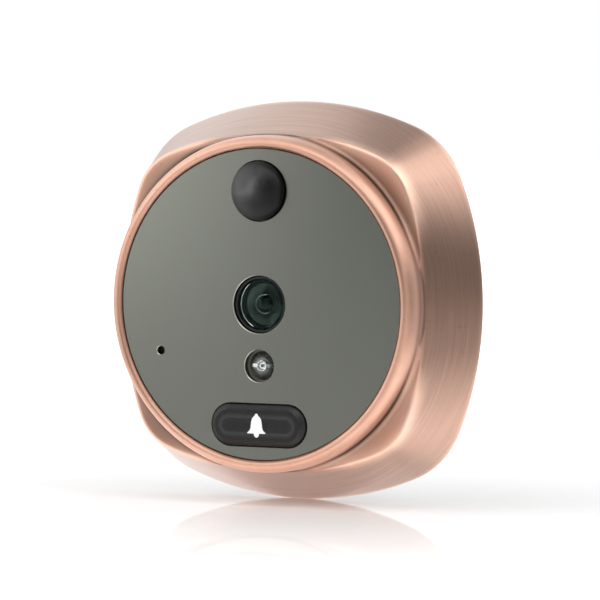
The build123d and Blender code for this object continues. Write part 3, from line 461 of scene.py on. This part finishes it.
def revolved(profile, spot, columns):
    """Coordinates of a surface of revolution, from pairs of radius and depth.

    Each radius is multiplied by the cosine and the sine of the turn, about a spot.
    """
    profile = np.asarray(profile, float)
    turn = np.linspace(0, 2 * math.pi, columns, endpoint=False)[None, :]
    x = spot[0] + profile[:, :1] * np.cos(turn)
    z = spot[1] + profile[:, :1] * np.sin(turn)
    return x, profile[:, 1:] + 0 * turn, z


# screw bosses, cast with the case: four for the inner frame and four for the back cover
boss_radius = 2.2
boss_bore = 1.0


def clipped_boss(name, spot, bore_floor, back):
    """Screw boss under the roof: a tube about a spot, blind at the floor of its bore.

    Where it would stand out of the case it is clipped to the middle of the drafted wall, by
    drawing its points in towards the axis.
    """
    profile = [
        (0, roof_y),
        (boss_radius, roof_y),
        (boss_radius, back),
        (boss_bore, back),
        (boss_bore, bore_floor),
        (0, bore_floor),
    ]
    x, y, z = revolved(profile, spot, 48)
    limit = outline_reach(np.arctan2(z, x), drawn_in(y) + case_wall / 2)
    scale = np.minimum(1, limit / np.hypot(x, z))
    return skin(name, np.stack([x * scale, y, z * scale], axis=-1))


frame_screw_reach = pocket_radius + boss_radius
cover_screw_reach = 29.0
for index in range(4):
    for label, reach, offset, bore_floor, back in (
        ("frame", frame_screw_reach, math.pi / 4, -10.6, -8.7),
        ("cover", cover_screw_reach, 0.0, -5.8, -2.0),
    ):
        bearing = offset + index * math.pi / 2
        spot = (reach * math.cos(bearing), reach * math.sin(bearing))
        boss = clipped_boss(f"case_{label}_boss_{index}", spot, bore_floor, back)
        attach(boss, "housing")
        dress(boss, copper)


# Motion window. Black polyethylene that passes infrared, moulded as a thin dome with a
# flange that the panel traps. Its skin is smooth and half glossy.
pir_spot = (0.0, 19.55)
dome_base = 5.05
dome_wall = 0.6
dome_edge = 2.0
dome_foot = -16.85
dome_rise = 3.15
flange_radius = 5.7
flange_front = -15.5
flange_back = -15.0


def turned(name, profile, spot=(0, 0), columns=128):
    """Surface of revolution: radius and depth pairs carried round the Y axis at a spot."""
    return skin(name, np.stack(revolved(profile, spot, columns), axis=-1))


def cap(apex, reach, curve, steps):
    """Half section of a spherical cap from the axis outwards: depth grows by its sagitta."""
    radius = np.linspace(0, reach, steps)
    return np.stack([radius, apex + curve - np.sqrt(curve**2 - radius**2)], axis=-1)


def corner_arc(centre, radius, first, last, steps):
    """Arc in radii and depths about a centre, from one angle to another in degrees."""
    swing = np.radians(np.linspace(first, last, steps))
    return np.stack([centre[0] + radius * np.cos(swing), centre[1] + radius * np.sin(swing)], axis=-1)


def dome_section(reach, rise, edge):
    """Cap from the axis, then an arc that touches it and ends upright at the foot.

    The two circles touch where the line through their centres meets them, so the cap's radius
    is solved from the rise, the reach and the edge.
    """
    corner = reach - edge
    curve = (corner**2 + rise**2 - edge**2) / (2 * (rise - edge))
    swing = math.atan2(corner, curve - rise)
    top = cap(dome_foot - rise, curve * math.sin(swing), curve, 36)
    side = corner_arc((corner, dome_foot), edge, math.degrees(swing) - 90, 0, 24)
    return np.concatenate([top, side[1:]])


dome_profile = np.concatenate(
    [
        dome_section(dome_base, dome_rise, dome_edge),
        [(dome_base, flange_front), (flange_radius, flange_front)],
        [(flange_radius, flange_back), (dome_base - dome_wall, flange_back)],
        dome_section(dome_base - dome_wall, dome_rise - dome_wall, dome_edge - dome_wall)[::-1],
    ]
)
dome = turned("pir_dome", dome_profile, pir_spot, 160)
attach(dome, "housing")
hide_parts("pir_lens")


def grained(name, first, second, rough, grain, bump, metallic=0.0, shine=0.5):
    """Plastic, metal or cloth with a fine grain, as a mould, a blast or a tool leaves it.

    Noise whose cell is the grain size in millimetres mixes two shades, moves the roughness a
    little and lifts the surface.
    """
    material, tree, shader = new_finish(name)
    place = add(tree, "ShaderNodeTexCoord").outputs["Object"]
    fine = add(
        tree,
        "ShaderNodeTexNoise",
        {"Vector": place, "Scale": 1.0 / (grain * mm), "Detail": 3.0, "Roughness": 0.6},
    ).outputs["Fac"]
    fine = add(tree, "ShaderNodeMapRange", {"Value": fine, "From Min": 0.35, "From Max": 0.65}).outputs[0]
    colour = add(
        tree, "ShaderNodeMix", {"Factor": fine, 6: tone(first), 7: tone(second)}, data_type="RGBA"
    ).outputs[2]
    gloss = add(
        tree, "ShaderNodeMapRange", {"Value": fine, "To Min": rough * 0.85, "To Max": rough * 1.15}
    ).outputs[0]
    lift = add(
        tree, "ShaderNodeBump", {"Height": fine, "Strength": bump, "Distance": grain * mm / 10}
    ).outputs[0]
    tree.links.new(colour, shader.inputs["Base Color"])
    tree.links.new(gloss, shader.inputs["Roughness"])
    tree.links.new(lift, shader.inputs["Normal"])
    shader.inputs["Metallic"].default_value = metallic
    shader.inputs["Specular IOR Level"].default_value = shine
    return material


dome_black = grained("polyethylene_black_moulded", "#050506", "#09090a", 0.36, 0.4, 0.05, shine=0.2)
dress(dome, dome_black)


# Camera lens. A turned barrel of black anodised aluminium, a bulging front glass with a
# green coating, a blackened spacer, a stop with a small hole, and a rear glass.
barrel_radius = 4.85
barrel_bore = 4.47
neck_radius = 3.5
thread_bore = 2.65
stop_bore = 2.3
barrel_step = -12.3
barrel_back = -8.0
seat_y = -13.9
stop_y = -11.2
# radius and depth: the rolled front lip, the outside, the neck, and the steps of the bore
barrel_profile = [
    (barrel_bore, -16.2),
    (4.55, -16.2),
    (4.62, -16.18),
    (4.73, -16.2),
    (4.82, -16.17),
    (barrel_radius, -16.08),
    (barrel_radius, barrel_step),
    (neck_radius, barrel_step),
    (neck_radius, barrel_back),
    (thread_bore, barrel_back),
    (thread_bore, stop_y),
    (stop_bore, stop_y),
    (stop_bore, seat_y),
    (barrel_bore, seat_y),
]
barrel = turned("lens_barrel_turned", barrel_profile, columns=160)
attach(barrel, "housing")
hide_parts("lens_barrel")
barrel_black = grained("aluminium_black_anodised_turned", "#1e2022", "#282a2c", 0.35, 0.1, 0.2, 0.6)
dress(barrel, barrel_black)

glass_radius = 4.42
glass_apex = -16.1
glass_curve = 9.0
glass_back = -14.4
glass_chamfer = 0.1
hollow_apex = -15.2
hollow_reach = 1.6
hollow_curve = 2.0
hollow_mouth = 1.66
front_glass_profile = np.concatenate(
    [
        cap(glass_apex, glass_radius, glass_curve, 28),
        [(glass_radius, glass_back - glass_chamfer), (glass_radius - glass_chamfer, glass_back)],
        [(hollow_mouth, glass_back)],
        cap(hollow_apex, hollow_reach, hollow_curve, 20)[::-1],
    ]
)
front_glass = turned("lens_front_element", front_glass_profile, columns=160)
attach(front_glass, "housing")
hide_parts("lens_front_glass")

spacer_bore = 3.45
spacer_front = glass_back + 0.03
spacer_back = seat_y - 0.01
spacer_chamfer = 0.15
spacer_profile = [
    (spacer_bore + spacer_chamfer, spacer_front),
    (glass_radius, spacer_front),
    (glass_radius, spacer_back),
    (spacer_bore, spacer_back),
    (spacer_bore, spacer_front + spacer_chamfer),
]
spacer = turned("lens_spacer_blackened", spacer_profile)
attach(spacer, "housing")
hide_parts("lens_spacer_ring")

rear_radius = 2.58
rear_front = -10.93
rear_rim = rear_front + 0.9
rear_bulge = 0.71
rear_curve = 5.0
rear_glass_profile = np.concatenate(
    [
        [(0, rear_front), (rear_radius, rear_front), (rear_radius, rear_rim)],
        cap(0, rear_radius, rear_curve, 16)[::-1] * [1, -1] + [0, rear_rim + rear_bulge],
    ]
)
rear_glass = turned("lens_rear_element", rear_glass_profile, columns=96)
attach(rear_glass, "housing")
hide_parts("lens_rear_glass")


def coated_glass(name, tint, reflex, rough, clear=1.0):
    """Optical glass with an anti-reflection film, or clear resin: the reflection has its own tint.

    The film is a little thicker here and there, in clouds of 4 mm, which moves both tints.
    """
    material, tree, shader = new_finish(name)
    place = add(tree, "ShaderNodeTexCoord").outputs["Object"]
    film = add(
        tree, "ShaderNodeTexNoise", {"Vector": place, "Scale": 250.0, "Detail": 1.0}
    ).outputs["Fac"]
    for socket, (first, second) in (("Base Color", tint), ("Specular Tint", reflex)):
        colour = add(
            tree, "ShaderNodeMix", {"Factor": film, 6: tone(first), 7: tone(second)}, data_type="RGBA"
        ).outputs[2]
        tree.links.new(colour, shader.inputs[socket])
    shader.inputs["Roughness"].default_value = rough
    shader.inputs["Transmission Weight"].default_value = clear
    shader.inputs["IOR"].default_value = 1.52
    return material


optic = coated_glass("optical_glass_coated", ("#a9b9b3", "#b6c4be"), ("#64857a", "#7c998e"), 0.01)
dress(front_glass, optic)
dress(rear_glass, optic)
spacer_black = grained("aluminium_black_blackened", "#151a1a", "#1d2423", 0.3, 0.2, 0.2, 0.5)
dress(spacer, spacer_black)
dress(nodes["aperture_stop"], spacer_black)
dress(nodes["lens_rear_ring"], spacer_black)


# Infrared lamp. A clear epoxy body with a domed front, cast round a tinned lead frame whose
# left leg ends in a reflector cup with the die on its floor.
led_spot = (0.0, -10.6)
led_y = -16.5
led_radius = 2.5
led_flange = 2.9
led_back = -7.8
led_step = led_back - 1.0
led_profile = np.concatenate(
    [
        corner_arc((0, led_y + led_radius), led_radius, -90, 0, 40),
        [(led_radius, led_step), (led_flange, led_step), (led_flange, led_back), (0, led_back)],
    ]
)
lamp = turned("lamp_body_cast", led_profile, led_spot)
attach(lamp, "housing")
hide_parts("led_body")
resin = coated_glass(
    "epoxy_clear_cast", ("#dfe5e2", "#e9eeec"), ("#f4f4f4", "#ffffff"), 0.02, clear=0.9
)
dress(lamp, resin)
lamp.visible_shadow = False
tinned = grained("copper_tinned_lead_frame", "#d9dadb", "#f2f2f2", 0.25, 0.3, 0.1, 1.0)
dress(nodes["led_leads"], tinned)


# Doorbell button. A black keycap moulded in ABS with a rounded bevel, a hollow stem with two
# hooks, and a post that pushes the switch. The bell on its face is printed in white.
button_spot = (0.0, -20.8)
button_y = -17.7
button_under = -15.9
key_radius = 3.55
key_half = 5.5
bevel = 0.85
bevel_y = button_y + bevel
soft = 0.1
face_back = button_y + 1.2
stem_back = -12.05
stem_reach = 7.8
stem_outer_inset = 1.25
stem_inner_inset = 2.15


def pill(name, profile, spot, half, radius):
    """Pill-shaped piece: inset and depth pairs carried round two half circles and two straights.

    A column's point is its centre on the middle line plus its direction times the radius less
    the inset, so an inset of the whole radius falls onto the middle line.
    """
    right = np.linspace(-math.pi / 2, math.pi / 2, 40)
    left = right + math.pi
    straight_run = np.linspace(half, -half, 16)
    up = np.full(straight_run.shape, math.pi / 2)
    swing = np.concatenate([right, up, left, -up])
    end = np.full(right.shape, half)
    centre = np.concatenate([end, straight_run, -end, -straight_run])
    profile = np.asarray(profile, float)
    reach = radius - profile[:, :1]
    x = spot[0] + centre[None, :] + reach * np.cos(swing)[None, :]
    z = spot[1] + reach * np.sin(swing)[None, :]
    y = profile[:, 1:] + 0 * x
    return skin(name, np.stack([x, y, z], axis=-1))


# inset from the key's outline and depth: the face, the softened bevel, the side and the stem
key_profile = [
    (key_radius, button_y),
    (bevel + soft + 0.4, button_y),
    (bevel + soft + 0.03, button_y),
    (bevel + soft, button_y),
    (bevel + soft * 0.35, button_y + 0.02),
    (bevel - soft * 0.2, button_y + 0.1),
    (bevel * 0.5, button_y + bevel * 0.52),
    (0.14, bevel_y - 0.14),
    (0.03, bevel_y),
    (0.0, bevel_y + 0.15),
    (0.0, button_under),
    (stem_outer_inset, button_under),
    (stem_outer_inset, stem_back),
    (stem_inner_inset, stem_back),
    (stem_inner_inset, face_back),
    (key_radius, face_back),
]
button = pill("button_keycap", key_profile, button_spot, key_half, key_radius)
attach(button, "button")
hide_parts("button_cap")
key_black = grained("abs_black_moulded_satin", "#141415", "#1a1a1b", 0.3, 0.12, 0.15, shine=0.3)
dress(button, key_black)

post_radius = 1.5
post_front = -17.1
post_back = -11.32
push_post = turned(
    "button_push_post",
    [(0, post_front), (post_radius, post_front), (post_radius, post_back), (0, post_back)],
    button_spot,
    48,
)


def ribbon(name, outline, spot, half_width):
    """Plate with an outline in X and depth, drawn out to both sides of a spot along Z.

    The first and last rows shrink to the outline's middle, which shuts its two faces.
    """
    outline = np.asarray(outline, float)
    middle = outline.mean(axis=0)
    rows = []
    for scale, side in ((0, -1), (1, -1), (1, 1), (0, 1)):
        flat = middle + (outline - middle) * scale
        z = np.full(len(flat), spot[1] + side * half_width)
        rows.append(np.stack([spot[0] + flat[:, 0], flat[:, 1], z], axis=-1))
    return skin(name, np.array(rows))


hook_size = 0.45
hook_root = stem_reach - hook_size
hook_catch = stem_reach + hook_size
hook_y = stem_back - 0.8
hook_half = 1.3
web_half = 0.5
web_outline = [
    (-hook_root, post_front), (hook_root, post_front), (hook_root, hook_y), (-hook_root, hook_y)
]
web = ribbon("button_web", web_outline, button_spot, web_half)
hooks = [
    ribbon(
        f"button_hook_{label}",
        [(side * hook_root, hook_y), (side * hook_catch, hook_y), (side * hook_root, stem_back)],
        button_spot,
        hook_half,
    )
    for label, side in (("left", -1), ("right", 1))
]
for piece in [push_post, web] + hooks:
    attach(piece, "button")
    dress(piece, key_black)

# right half of the printed bell's outline, from the knob down to the clapper
bell_side = np.array(
    [
        (0.0, 2.08), (0.16, 2.03), (0.27, 1.92), (0.31, 1.76), (0.42, 1.64), (0.66, 1.46), (0.84, 1.2),
        (0.95, 0.88), (1.02, 0.5), (1.06, 0.1), (1.11, -0.3), (1.22, -0.66), (1.4, -0.94), (1.64, -1.14),
        (1.77, -1.24), (1.72, -1.35), (1.1, -1.36), (0.5, -1.36), (0.47, -1.62), (0.36, -1.86),
        (0.18, -2.01), (0.0, -2.06),
    ]
)
bell_line = np.concatenate([bell_side, bell_side[-2:0:-1] * [-1, 1]])
ink_raised = 0.03
ink_sunk = 0.02
print_front = button_y - ink_raised
print_back = button_y + ink_sunk
# the rows start and end at the bell's middle, which shuts its front and its back
bell_rows = []
for scale, height in ((0, print_front), (1, print_front), (1, print_back), (0, print_back)):
    flat = bell_line * scale + button_spot
    bell_rows.append(np.stack([flat[:, 0], np.full(len(flat), height), flat[:, 1]], axis=-1))
bell = skin("button_bell_print", np.array(bell_rows))
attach(bell, "button")
print_white = grained("ink_white_pad_printed", "#eef1f4", "#f7f9fb", 0.5, 0.15, 0.2)
dress(bell, print_white)


# Face panel. Aluminium sheet, blanked and drilled, blasted to a fine satin and anodised dark
# grey. The fine chamfers round its openings are cut after anodising and stay bright.
def anodised_panel():
    """Anodised satin, with bare metal where the surface leans to a chamfer.

    The grains are 0.15 mm, coarser than the real blasting, so that they show. A chamfer's
    normal has the cosine of 45 degrees along Y.
    """
    material, tree, shader = new_finish("aluminium_grey_anodised_blasted")
    place = add(tree, "ShaderNodeTexCoord").outputs["Object"]
    facing = add(tree, "ShaderNodeNewGeometry").outputs["Normal"]
    lean = add(tree, "ShaderNodeSeparateXYZ", {0: facing}).outputs["Y"]
    lean = add(tree, "ShaderNodeMath", {0: lean}, operation="ABSOLUTE").outputs[0]
    cut = add(tree, "ShaderNodeMath", {0: lean, 1: 0.707, 2: 0.1}, operation="COMPARE").outputs[0]
    fine = add(
        tree, "ShaderNodeTexNoise", {"Vector": place, "Scale": 6500.0, "Detail": 2.0}
    ).outputs["Fac"]
    fine = add(tree, "ShaderNodeMapRange", {"Value": fine, "From Min": 0.3, "From Max": 0.7}).outputs[0]
    colour = add(
        tree,
        "ShaderNodeMix",
        {"Factor": fine, 6: tone("#70726b"), 7: tone("#787a73")},
        data_type="RGBA",
    ).outputs[2]
    colour = add(
        tree, "ShaderNodeMix", {"Factor": cut, 6: colour, 7: tone("#a09d95")}, data_type="RGBA"
    ).outputs[2]
    lift = add(
        tree, "ShaderNodeBump", {"Height": fine, "Strength": 0.1, "Distance": 0.00001}
    ).outputs[0]
    tree.links.new(colour, shader.inputs["Base Color"])
    tree.links.new(lift, shader.inputs["Normal"])
    shader.inputs["Metallic"].default_value = 0.95
    shader.inputs["Roughness"].default_value = 0.26
    return material


dress(nodes["face_panel"], anodised_panel())


# Inside and back. What the street doesn't see keeps its CAD shape: the frame, the sensor, the
# switch, the boards and the cover, held by screws, clips, solder and glue. Each kind of piece
# gets the finish of its own material.
black_plastic = grained("pc_abs_black_moulded", "#1c1c1e", "#242426", 0.45, 0.3, 0.3)
steel = grained("steel_zinc_plated", "#b4b7ba", "#c9ccce", 0.3, 0.2, 0.2, 1.0)
zinc = grained("zinc_die_cast_blasted", "#8e8c89", "#a09e9b", 0.5, 0.35, 0.4, 1.0)
drawn_metal = grained("steel_nickel_plated_drawn", "#bdbbb4", "#cfcdc6", 0.22, 0.5, 0.1, 1.0)
filter_dark = grained("silicon_filter_coated", "#2a2630", "#332f3a", 0.15, 0.8, 0.05)
soft_black = grained("silicone_black_moulded", "#141415", "#1b1b1c", 0.6, 0.25, 0.3)
soft_grey = grained("silicone_grey_moulded", "#6b6b62", "#77776e", 0.5, 0.25, 0.3)
board_green = grained("glass_epoxy_board_green", "#1d4a2c", "#24583a", 0.35, 0.6, 0.2)
chip_black = grained("epoxy_black_moulded", "#232325", "#2b2b2d", 0.55, 0.15, 0.3)
ferrite_grey = grained("ferrite_pressed", "#3a3a3b", "#464647", 0.6, 0.1, 0.3)
ceramic_tan = grained("ceramic_fired_tan", "#a08666", "#b09574", 0.4, 0.15, 0.2)
nylon_white = grained("nylon_white_moulded", "#e4e0d4", "#ece8dc", 0.45, 0.3, 0.2)
foam = grained("eva_foam_black_cut", "#1e1f20", "#2d2e30", 0.85, 0.35, 0.8)
glue_film = grained("acrylic_glue_film", "#c9c4b5", "#d6d1c3", 0.4, 0.5, 0.2)
mesh_cloth = grained("polyester_mesh_woven", "#0e0e0f", "#19191a", 0.7, 0.08, 0.8)
filter_glass = coated_glass(
    "infrared_cut_glass_coated", ("#a9d3d8", "#b4dade"), ("#d8a0b8", "#d0a8c4"), 0.01
)
for finish, names in (
    (glue_film, "panel_adhesive"),
    (black_plastic, "inner_frame pir_spacer lens_holder switch_body"),
    (steel, "frame_screws holder_screws board_screws cover_screws"),
    (drawn_metal, "pir_can pir_header switch_cover mic_capsule crystal_can"),
    (filter_dark, "pir_window led_die image_sensor"),
    (soft_black, "lens_seal mic_boot cover_seal"),
    (soft_grey, "led_collar led_spacer"),
    (tinned, "pir_leads switch_terminals mic_leads header_contacts"),
    (filter_glass, "infrared_filter"),
    (mesh_cloth, "mic_mesh"),
    (key_black, "switch_plunger"),
    (board_green, "main_board"),
    (chip_black, "processor_chip memory_chip resistors"),
    (ferrite_grey, "power_inductor"),
    (ceramic_tan, "capacitors"),
    (nylon_white, "cable_header"),
    (zinc, "back_cover"),
    (foam, "door_gasket"),
):
    for name in names.split():
        dress(nodes[name], finish)


# Studio. A white floor under the case, white all round, soft lamps, and cards that only show
# mirrored in the metal and the glass: the glowing ones draw their bright bands, and the black
# and brown ones, the flags, their dark bands.
floor_z = -34.85
floor_size = 6000.0
panel_y = -16.7
panel_middle = np.array([0, panel_y, 0])
square = np.array([(-1, -1), (1, -1), (1, 1), (-1, 1)], float)
scene = bpy.context.scene
scene.view_settings.view_transform = "Standard"


def white_world():
    """White all round: full strength where it is seen or mirrored, and half as light."""
    world = bpy.data.worlds.new("studio_white")
    world.use_nodes = True
    world.cycles.sampling_method = "NONE"
    tree = world.node_tree
    rays = add(tree, "ShaderNodeLightPath").outputs
    seen = add(
        tree,
        "ShaderNodeMath",
        {0: rays["Is Camera Ray"], 1: rays["Is Glossy Ray"]},
        operation="MAXIMUM",
    ).outputs[0]
    seen = add(
        tree, "ShaderNodeMath", {0: seen, 1: rays["Is Transmission Ray"]}, operation="MAXIMUM"
    ).outputs[0]
    level = add(tree, "ShaderNodeMapRange", {"Value": seen, "To Min": 0.5, "To Max": 1.0}).outputs[0]
    background = tree.nodes["Background"]
    tree.links.new(level, background.inputs["Strength"])
    background.inputs["Color"].default_value = tone("#ffffff")
    return world


scene.world = white_world()

floor_mesh = bpy.data.meshes.new("floor")
floor_corners = square * floor_size / 2 * mm
floor_mesh.from_pydata([(x, y, floor_z * mm) for x, y in floor_corners], [], [(0, 1, 2, 3)])
floor = bpy.data.objects.new("floor", floor_mesh)
scene.collection.objects.link(floor)


def polished_floor():
    """White acrylic: a plain white body, and a mirror film that fades out towards the front.

    For the camera it glows white away from the case, and stays plain near it, where the shadow
    falls. For the metal it glows in a pool behind the case. Distances are in metres.
    """
    material, tree, shader = new_finish("acrylic_white_polished")
    place = add(tree, "ShaderNodeTexCoord").outputs["Object"]
    mottle = add(
        tree, "ShaderNodeTexNoise", {"Vector": place, "Scale": 40.0, "Detail": 2.0}
    ).outputs["Fac"]
    white = add(
        tree,
        "ShaderNodeMix",
        {"Factor": mottle, 6: tone("#f4f4f4"), 7: tone("#f8f8f8")},
        data_type="RGBA",
    ).outputs[2]
    depth = add(tree, "ShaderNodeSeparateXYZ", {0: place}).outputs["Y"]
    rays = add(tree, "ShaderNodeLightPath").outputs
    seen = add(
        tree,
        "ShaderNodeMath",
        {0: rays["Is Camera Ray"], 1: rays["Is Transmission Ray"]},
        operation="MAXIMUM",
    ).outputs[0]
    apart = add(tree, "ShaderNodeVectorMath", {0: place}, operation="LENGTH").outputs["Value"]
    far = add(
        tree,
        "ShaderNodeMapRange",
        {"Value": apart, "From Min": 0.05, "From Max": 0.3, "To Min": 0.1, "To Max": 1.0},
    ).outputs[0]
    behind = add(
        tree,
        "ShaderNodeMapRange",
        {"Value": depth, "From Min": -0.1, "From Max": 0.02, "To Min": 0.0, "To Max": 1.25},
    ).outputs[0]
    pool = add(
        tree,
        "ShaderNodeMapRange",
        {"Value": apart, "From Min": 0.09, "From Max": 0.15, "To Min": 1.0, "To Max": 0.0},
        interpolation_type="SMOOTHSTEP",
    ).outputs[0]
    glow = add(tree, "ShaderNodeMath", {0: behind, 1: pool}, operation="MULTIPLY").outputs[0]
    glow = add(
        tree, "ShaderNodeMath", {0: rays["Is Glossy Ray"], 1: glow}, operation="MULTIPLY"
    ).outputs[0]
    glow = add(
        tree, "ShaderNodeMath", {0: seen, 1: far, 2: glow}, operation="MULTIPLY_ADD"
    ).outputs[0]
    tree.links.new(white, shader.inputs["Base Color"])
    tree.links.new(glow, shader.inputs["Emission Strength"])
    shader.inputs["Emission Color"].default_value = tone("#ffffff")
    shader.inputs["Roughness"].default_value = 0.6
    shader.inputs["Specular IOR Level"].default_value = 0.0
    ahead = add(tree, "ShaderNodeMath", {0: depth, 1: -1.0}, operation="MULTIPLY").outputs[0]
    film = add(
        tree,
        "ShaderNodeMapRange",
        {"Value": ahead, "From Min": 0.0, "From Max": 0.16, "To Min": 0.45, "To Max": 0.0},
    ).outputs[0]
    mirror = add(
        tree, "ShaderNodeBsdfGlossy", {"Color": tone("#ffffff"), "Roughness": 0.03}
    ).outputs[0]
    blend = add(tree, "ShaderNodeMixShader", {0: film, 1: shader.outputs[0], 2: mirror}).outputs[0]
    tree.links.new(blend, tree.nodes["Material Output"].inputs["Surface"])
    return material


dress(floor, polished_floor())


def toward(azimuth, elevation, distance):
    """Point at an azimuth from the front to the right, an elevation and a distance."""
    turn = math.radians(azimuth)
    rise = math.radians(elevation)
    flat = math.cos(rise)
    return np.array([math.sin(turn) * flat, -math.cos(turn) * flat, math.sin(rise)]) * distance


def screen(name, bearing, size):
    """Flat card that faces the middle of the panel from a bearing: azimuth, elevation, distance.

    Its corners carry u and v from -1 to 1, so that a material can fade towards the edges. Only
    glossy rays see it.
    """
    away = -toward(*bearing)
    away /= np.linalg.norm(away)
    side = np.cross(away, (0, 0, 1))
    side /= np.linalg.norm(side)
    up = np.cross(side, away)
    centre = panel_middle + toward(*bearing)
    corners = centre + square[:, :1] * side * size[0] / 2 + square[:, 1:] * up * size[1] / 2
    mesh = bpy.data.meshes.new(name)
    mesh.from_pydata((corners * mm).tolist(), [], [(0, 1, 2, 3)])
    for label, values in (("u", square[:, 0]), ("v", square[:, 1])):
        layer = mesh.attributes.new(label, "FLOAT", "POINT")
        layer.data.foreach_set("value", values.astype(np.float32))
    card = bpy.data.objects.new(name, mesh)
    scene.collection.objects.link(card)
    card.visible_camera = False
    card.visible_diffuse = False
    card.visible_shadow = False
    card.visible_transmission = False
    return card


def faded_cloth(name, colour, strength, fade, density):
    """Cloth that glows at a strength, or is black at none, and thins out towards its edges.

    Each of u and v falls from 1 to 0 over the outer fade, and their product times the density
    covers what is behind.
    """
    material, tree, _ = new_finish(name)
    cover = density
    for label in ("u", "v"):
        place = add(tree, "ShaderNodeAttribute", attribute_name=label).outputs["Fac"]
        off_centre = add(tree, "ShaderNodeMath", {0: place}, operation="ABSOLUTE").outputs[0]
        part = add(
            tree,
            "ShaderNodeMapRange",
            {"Value": off_centre, "From Min": 1.0 - fade, "From Max": 1.0, "To Min": 1.0, "To Max": 0.0},
            interpolation_type="SMOOTHSTEP",
        ).outputs[0]
        cover = add(tree, "ShaderNodeMath", {0: cover, 1: part}, operation="MULTIPLY").outputs[0]
    clear = add(tree, "ShaderNodeBsdfTransparent").outputs[0]
    glow = add(tree, "ShaderNodeEmission", {"Color": tone(colour), "Strength": strength}).outputs[0]
    blend = add(tree, "ShaderNodeMixShader", {0: cover, 1: clear, 2: glow}).outputs[0]
    tree.links.new(blend, tree.nodes["Material Output"].inputs["Surface"])
    return material


for name, bearing, size, colour, strength, fade, density in (
    ("glow_front_left", (-55, 25, 200), (265, 250), "#ffffff", 2.2, 0.4, 1.0),
    ("glow_back_left", (-132, 40, 700), (640, 620), "#e8f0f4", 1.85, 0.5, 1.0),
    ("glow_right", (101, 44, 700), (700, 620), "#ffffff", 2.85, 0.4, 1.0),
    ("glow_top_front", (8, 60, 720), (950, 480), "#ffffff", 2.8, 0.5, 1.0),
    ("flag_front", (4, 13, 800), (1480, 850), "#000000", 0.0, 0.25, 0.9),
    ("flag_right", (106, -2, 600), (700, 560), "#231c19", 1.0, 0.45, 0.9),
    ("flag_above", (-175, 70, 600), (300, 500), "#231c19", 1.0, 0.5, 0.5),
):
    dress(screen(name, bearing, size), faded_cloth(name + "_cloth", colour, strength, fade, density))


def softbox(name, bearing, width, height, watts):
    """Area lamp that faces the middle of the case from a bearing, with sides in millimetres."""
    data = bpy.data.lights.new(name, "AREA")
    data.shape = "RECTANGLE"
    data.size = width * mm
    data.size_y = height * mm
    data.energy = watts
    lamp_head = bpy.data.objects.new(name, data)
    scene.collection.objects.link(lamp_head)
    away = toward(*bearing)
    lamp_head.location = Vector(away * mm)
    lamp_head.rotation_euler = Vector(-away).to_track_quat("-Z", "Y").to_euler()
    return lamp_head


for name, bearing, width, height, watts in (
    ("softbox_left", (-60, 30, 900), 700, 700, 4.5),
    ("softbox_top", (10, 75, 900), 700, 700, 1.5),
    ("softbox_right", (70, 30, 900), 400, 500, 2.5),
):
    softbox(name, bearing, width, height, watts).visible_glossy = False

# a lamp for the motion window alone, flagged off from everything else
window_only = bpy.data.collections.new("motion_window_only")
window_only.objects.link(dome)
window_lamp = softbox("softbox_window", (-50, 20, 300), 320, 260, 9.0)
window_lamp.light_linking.receiver_collection = window_only

# camera at the photograph's angle, aimed a little right of the panel's middle and above it
camera_azimuth = 27.5
camera_height = 3.0
camera_distance = 698.0
aim_right = 7.05
aim_up = 0.79
camera_data = bpy.data.cameras.new("camera")
camera_data.lens = 243.7
camera_data.clip_start = 0.01
camera = bpy.data.objects.new("camera", camera_data)
scene.collection.objects.link(camera)
view_back = toward(camera_azimuth, camera_height, 1.0)
view_right = toward(camera_azimuth + 90, 0, 1.0)
view_up = np.cross(view_back, view_right)
eye = panel_middle + view_back * camera_distance
target = panel_middle + view_right * aim_right + view_up * aim_up
camera.location = Vector(eye * mm)
camera.rotation_euler = Vector(target - eye).to_track_quat("-Z", "Y").to_euler()
scene.camera = camera
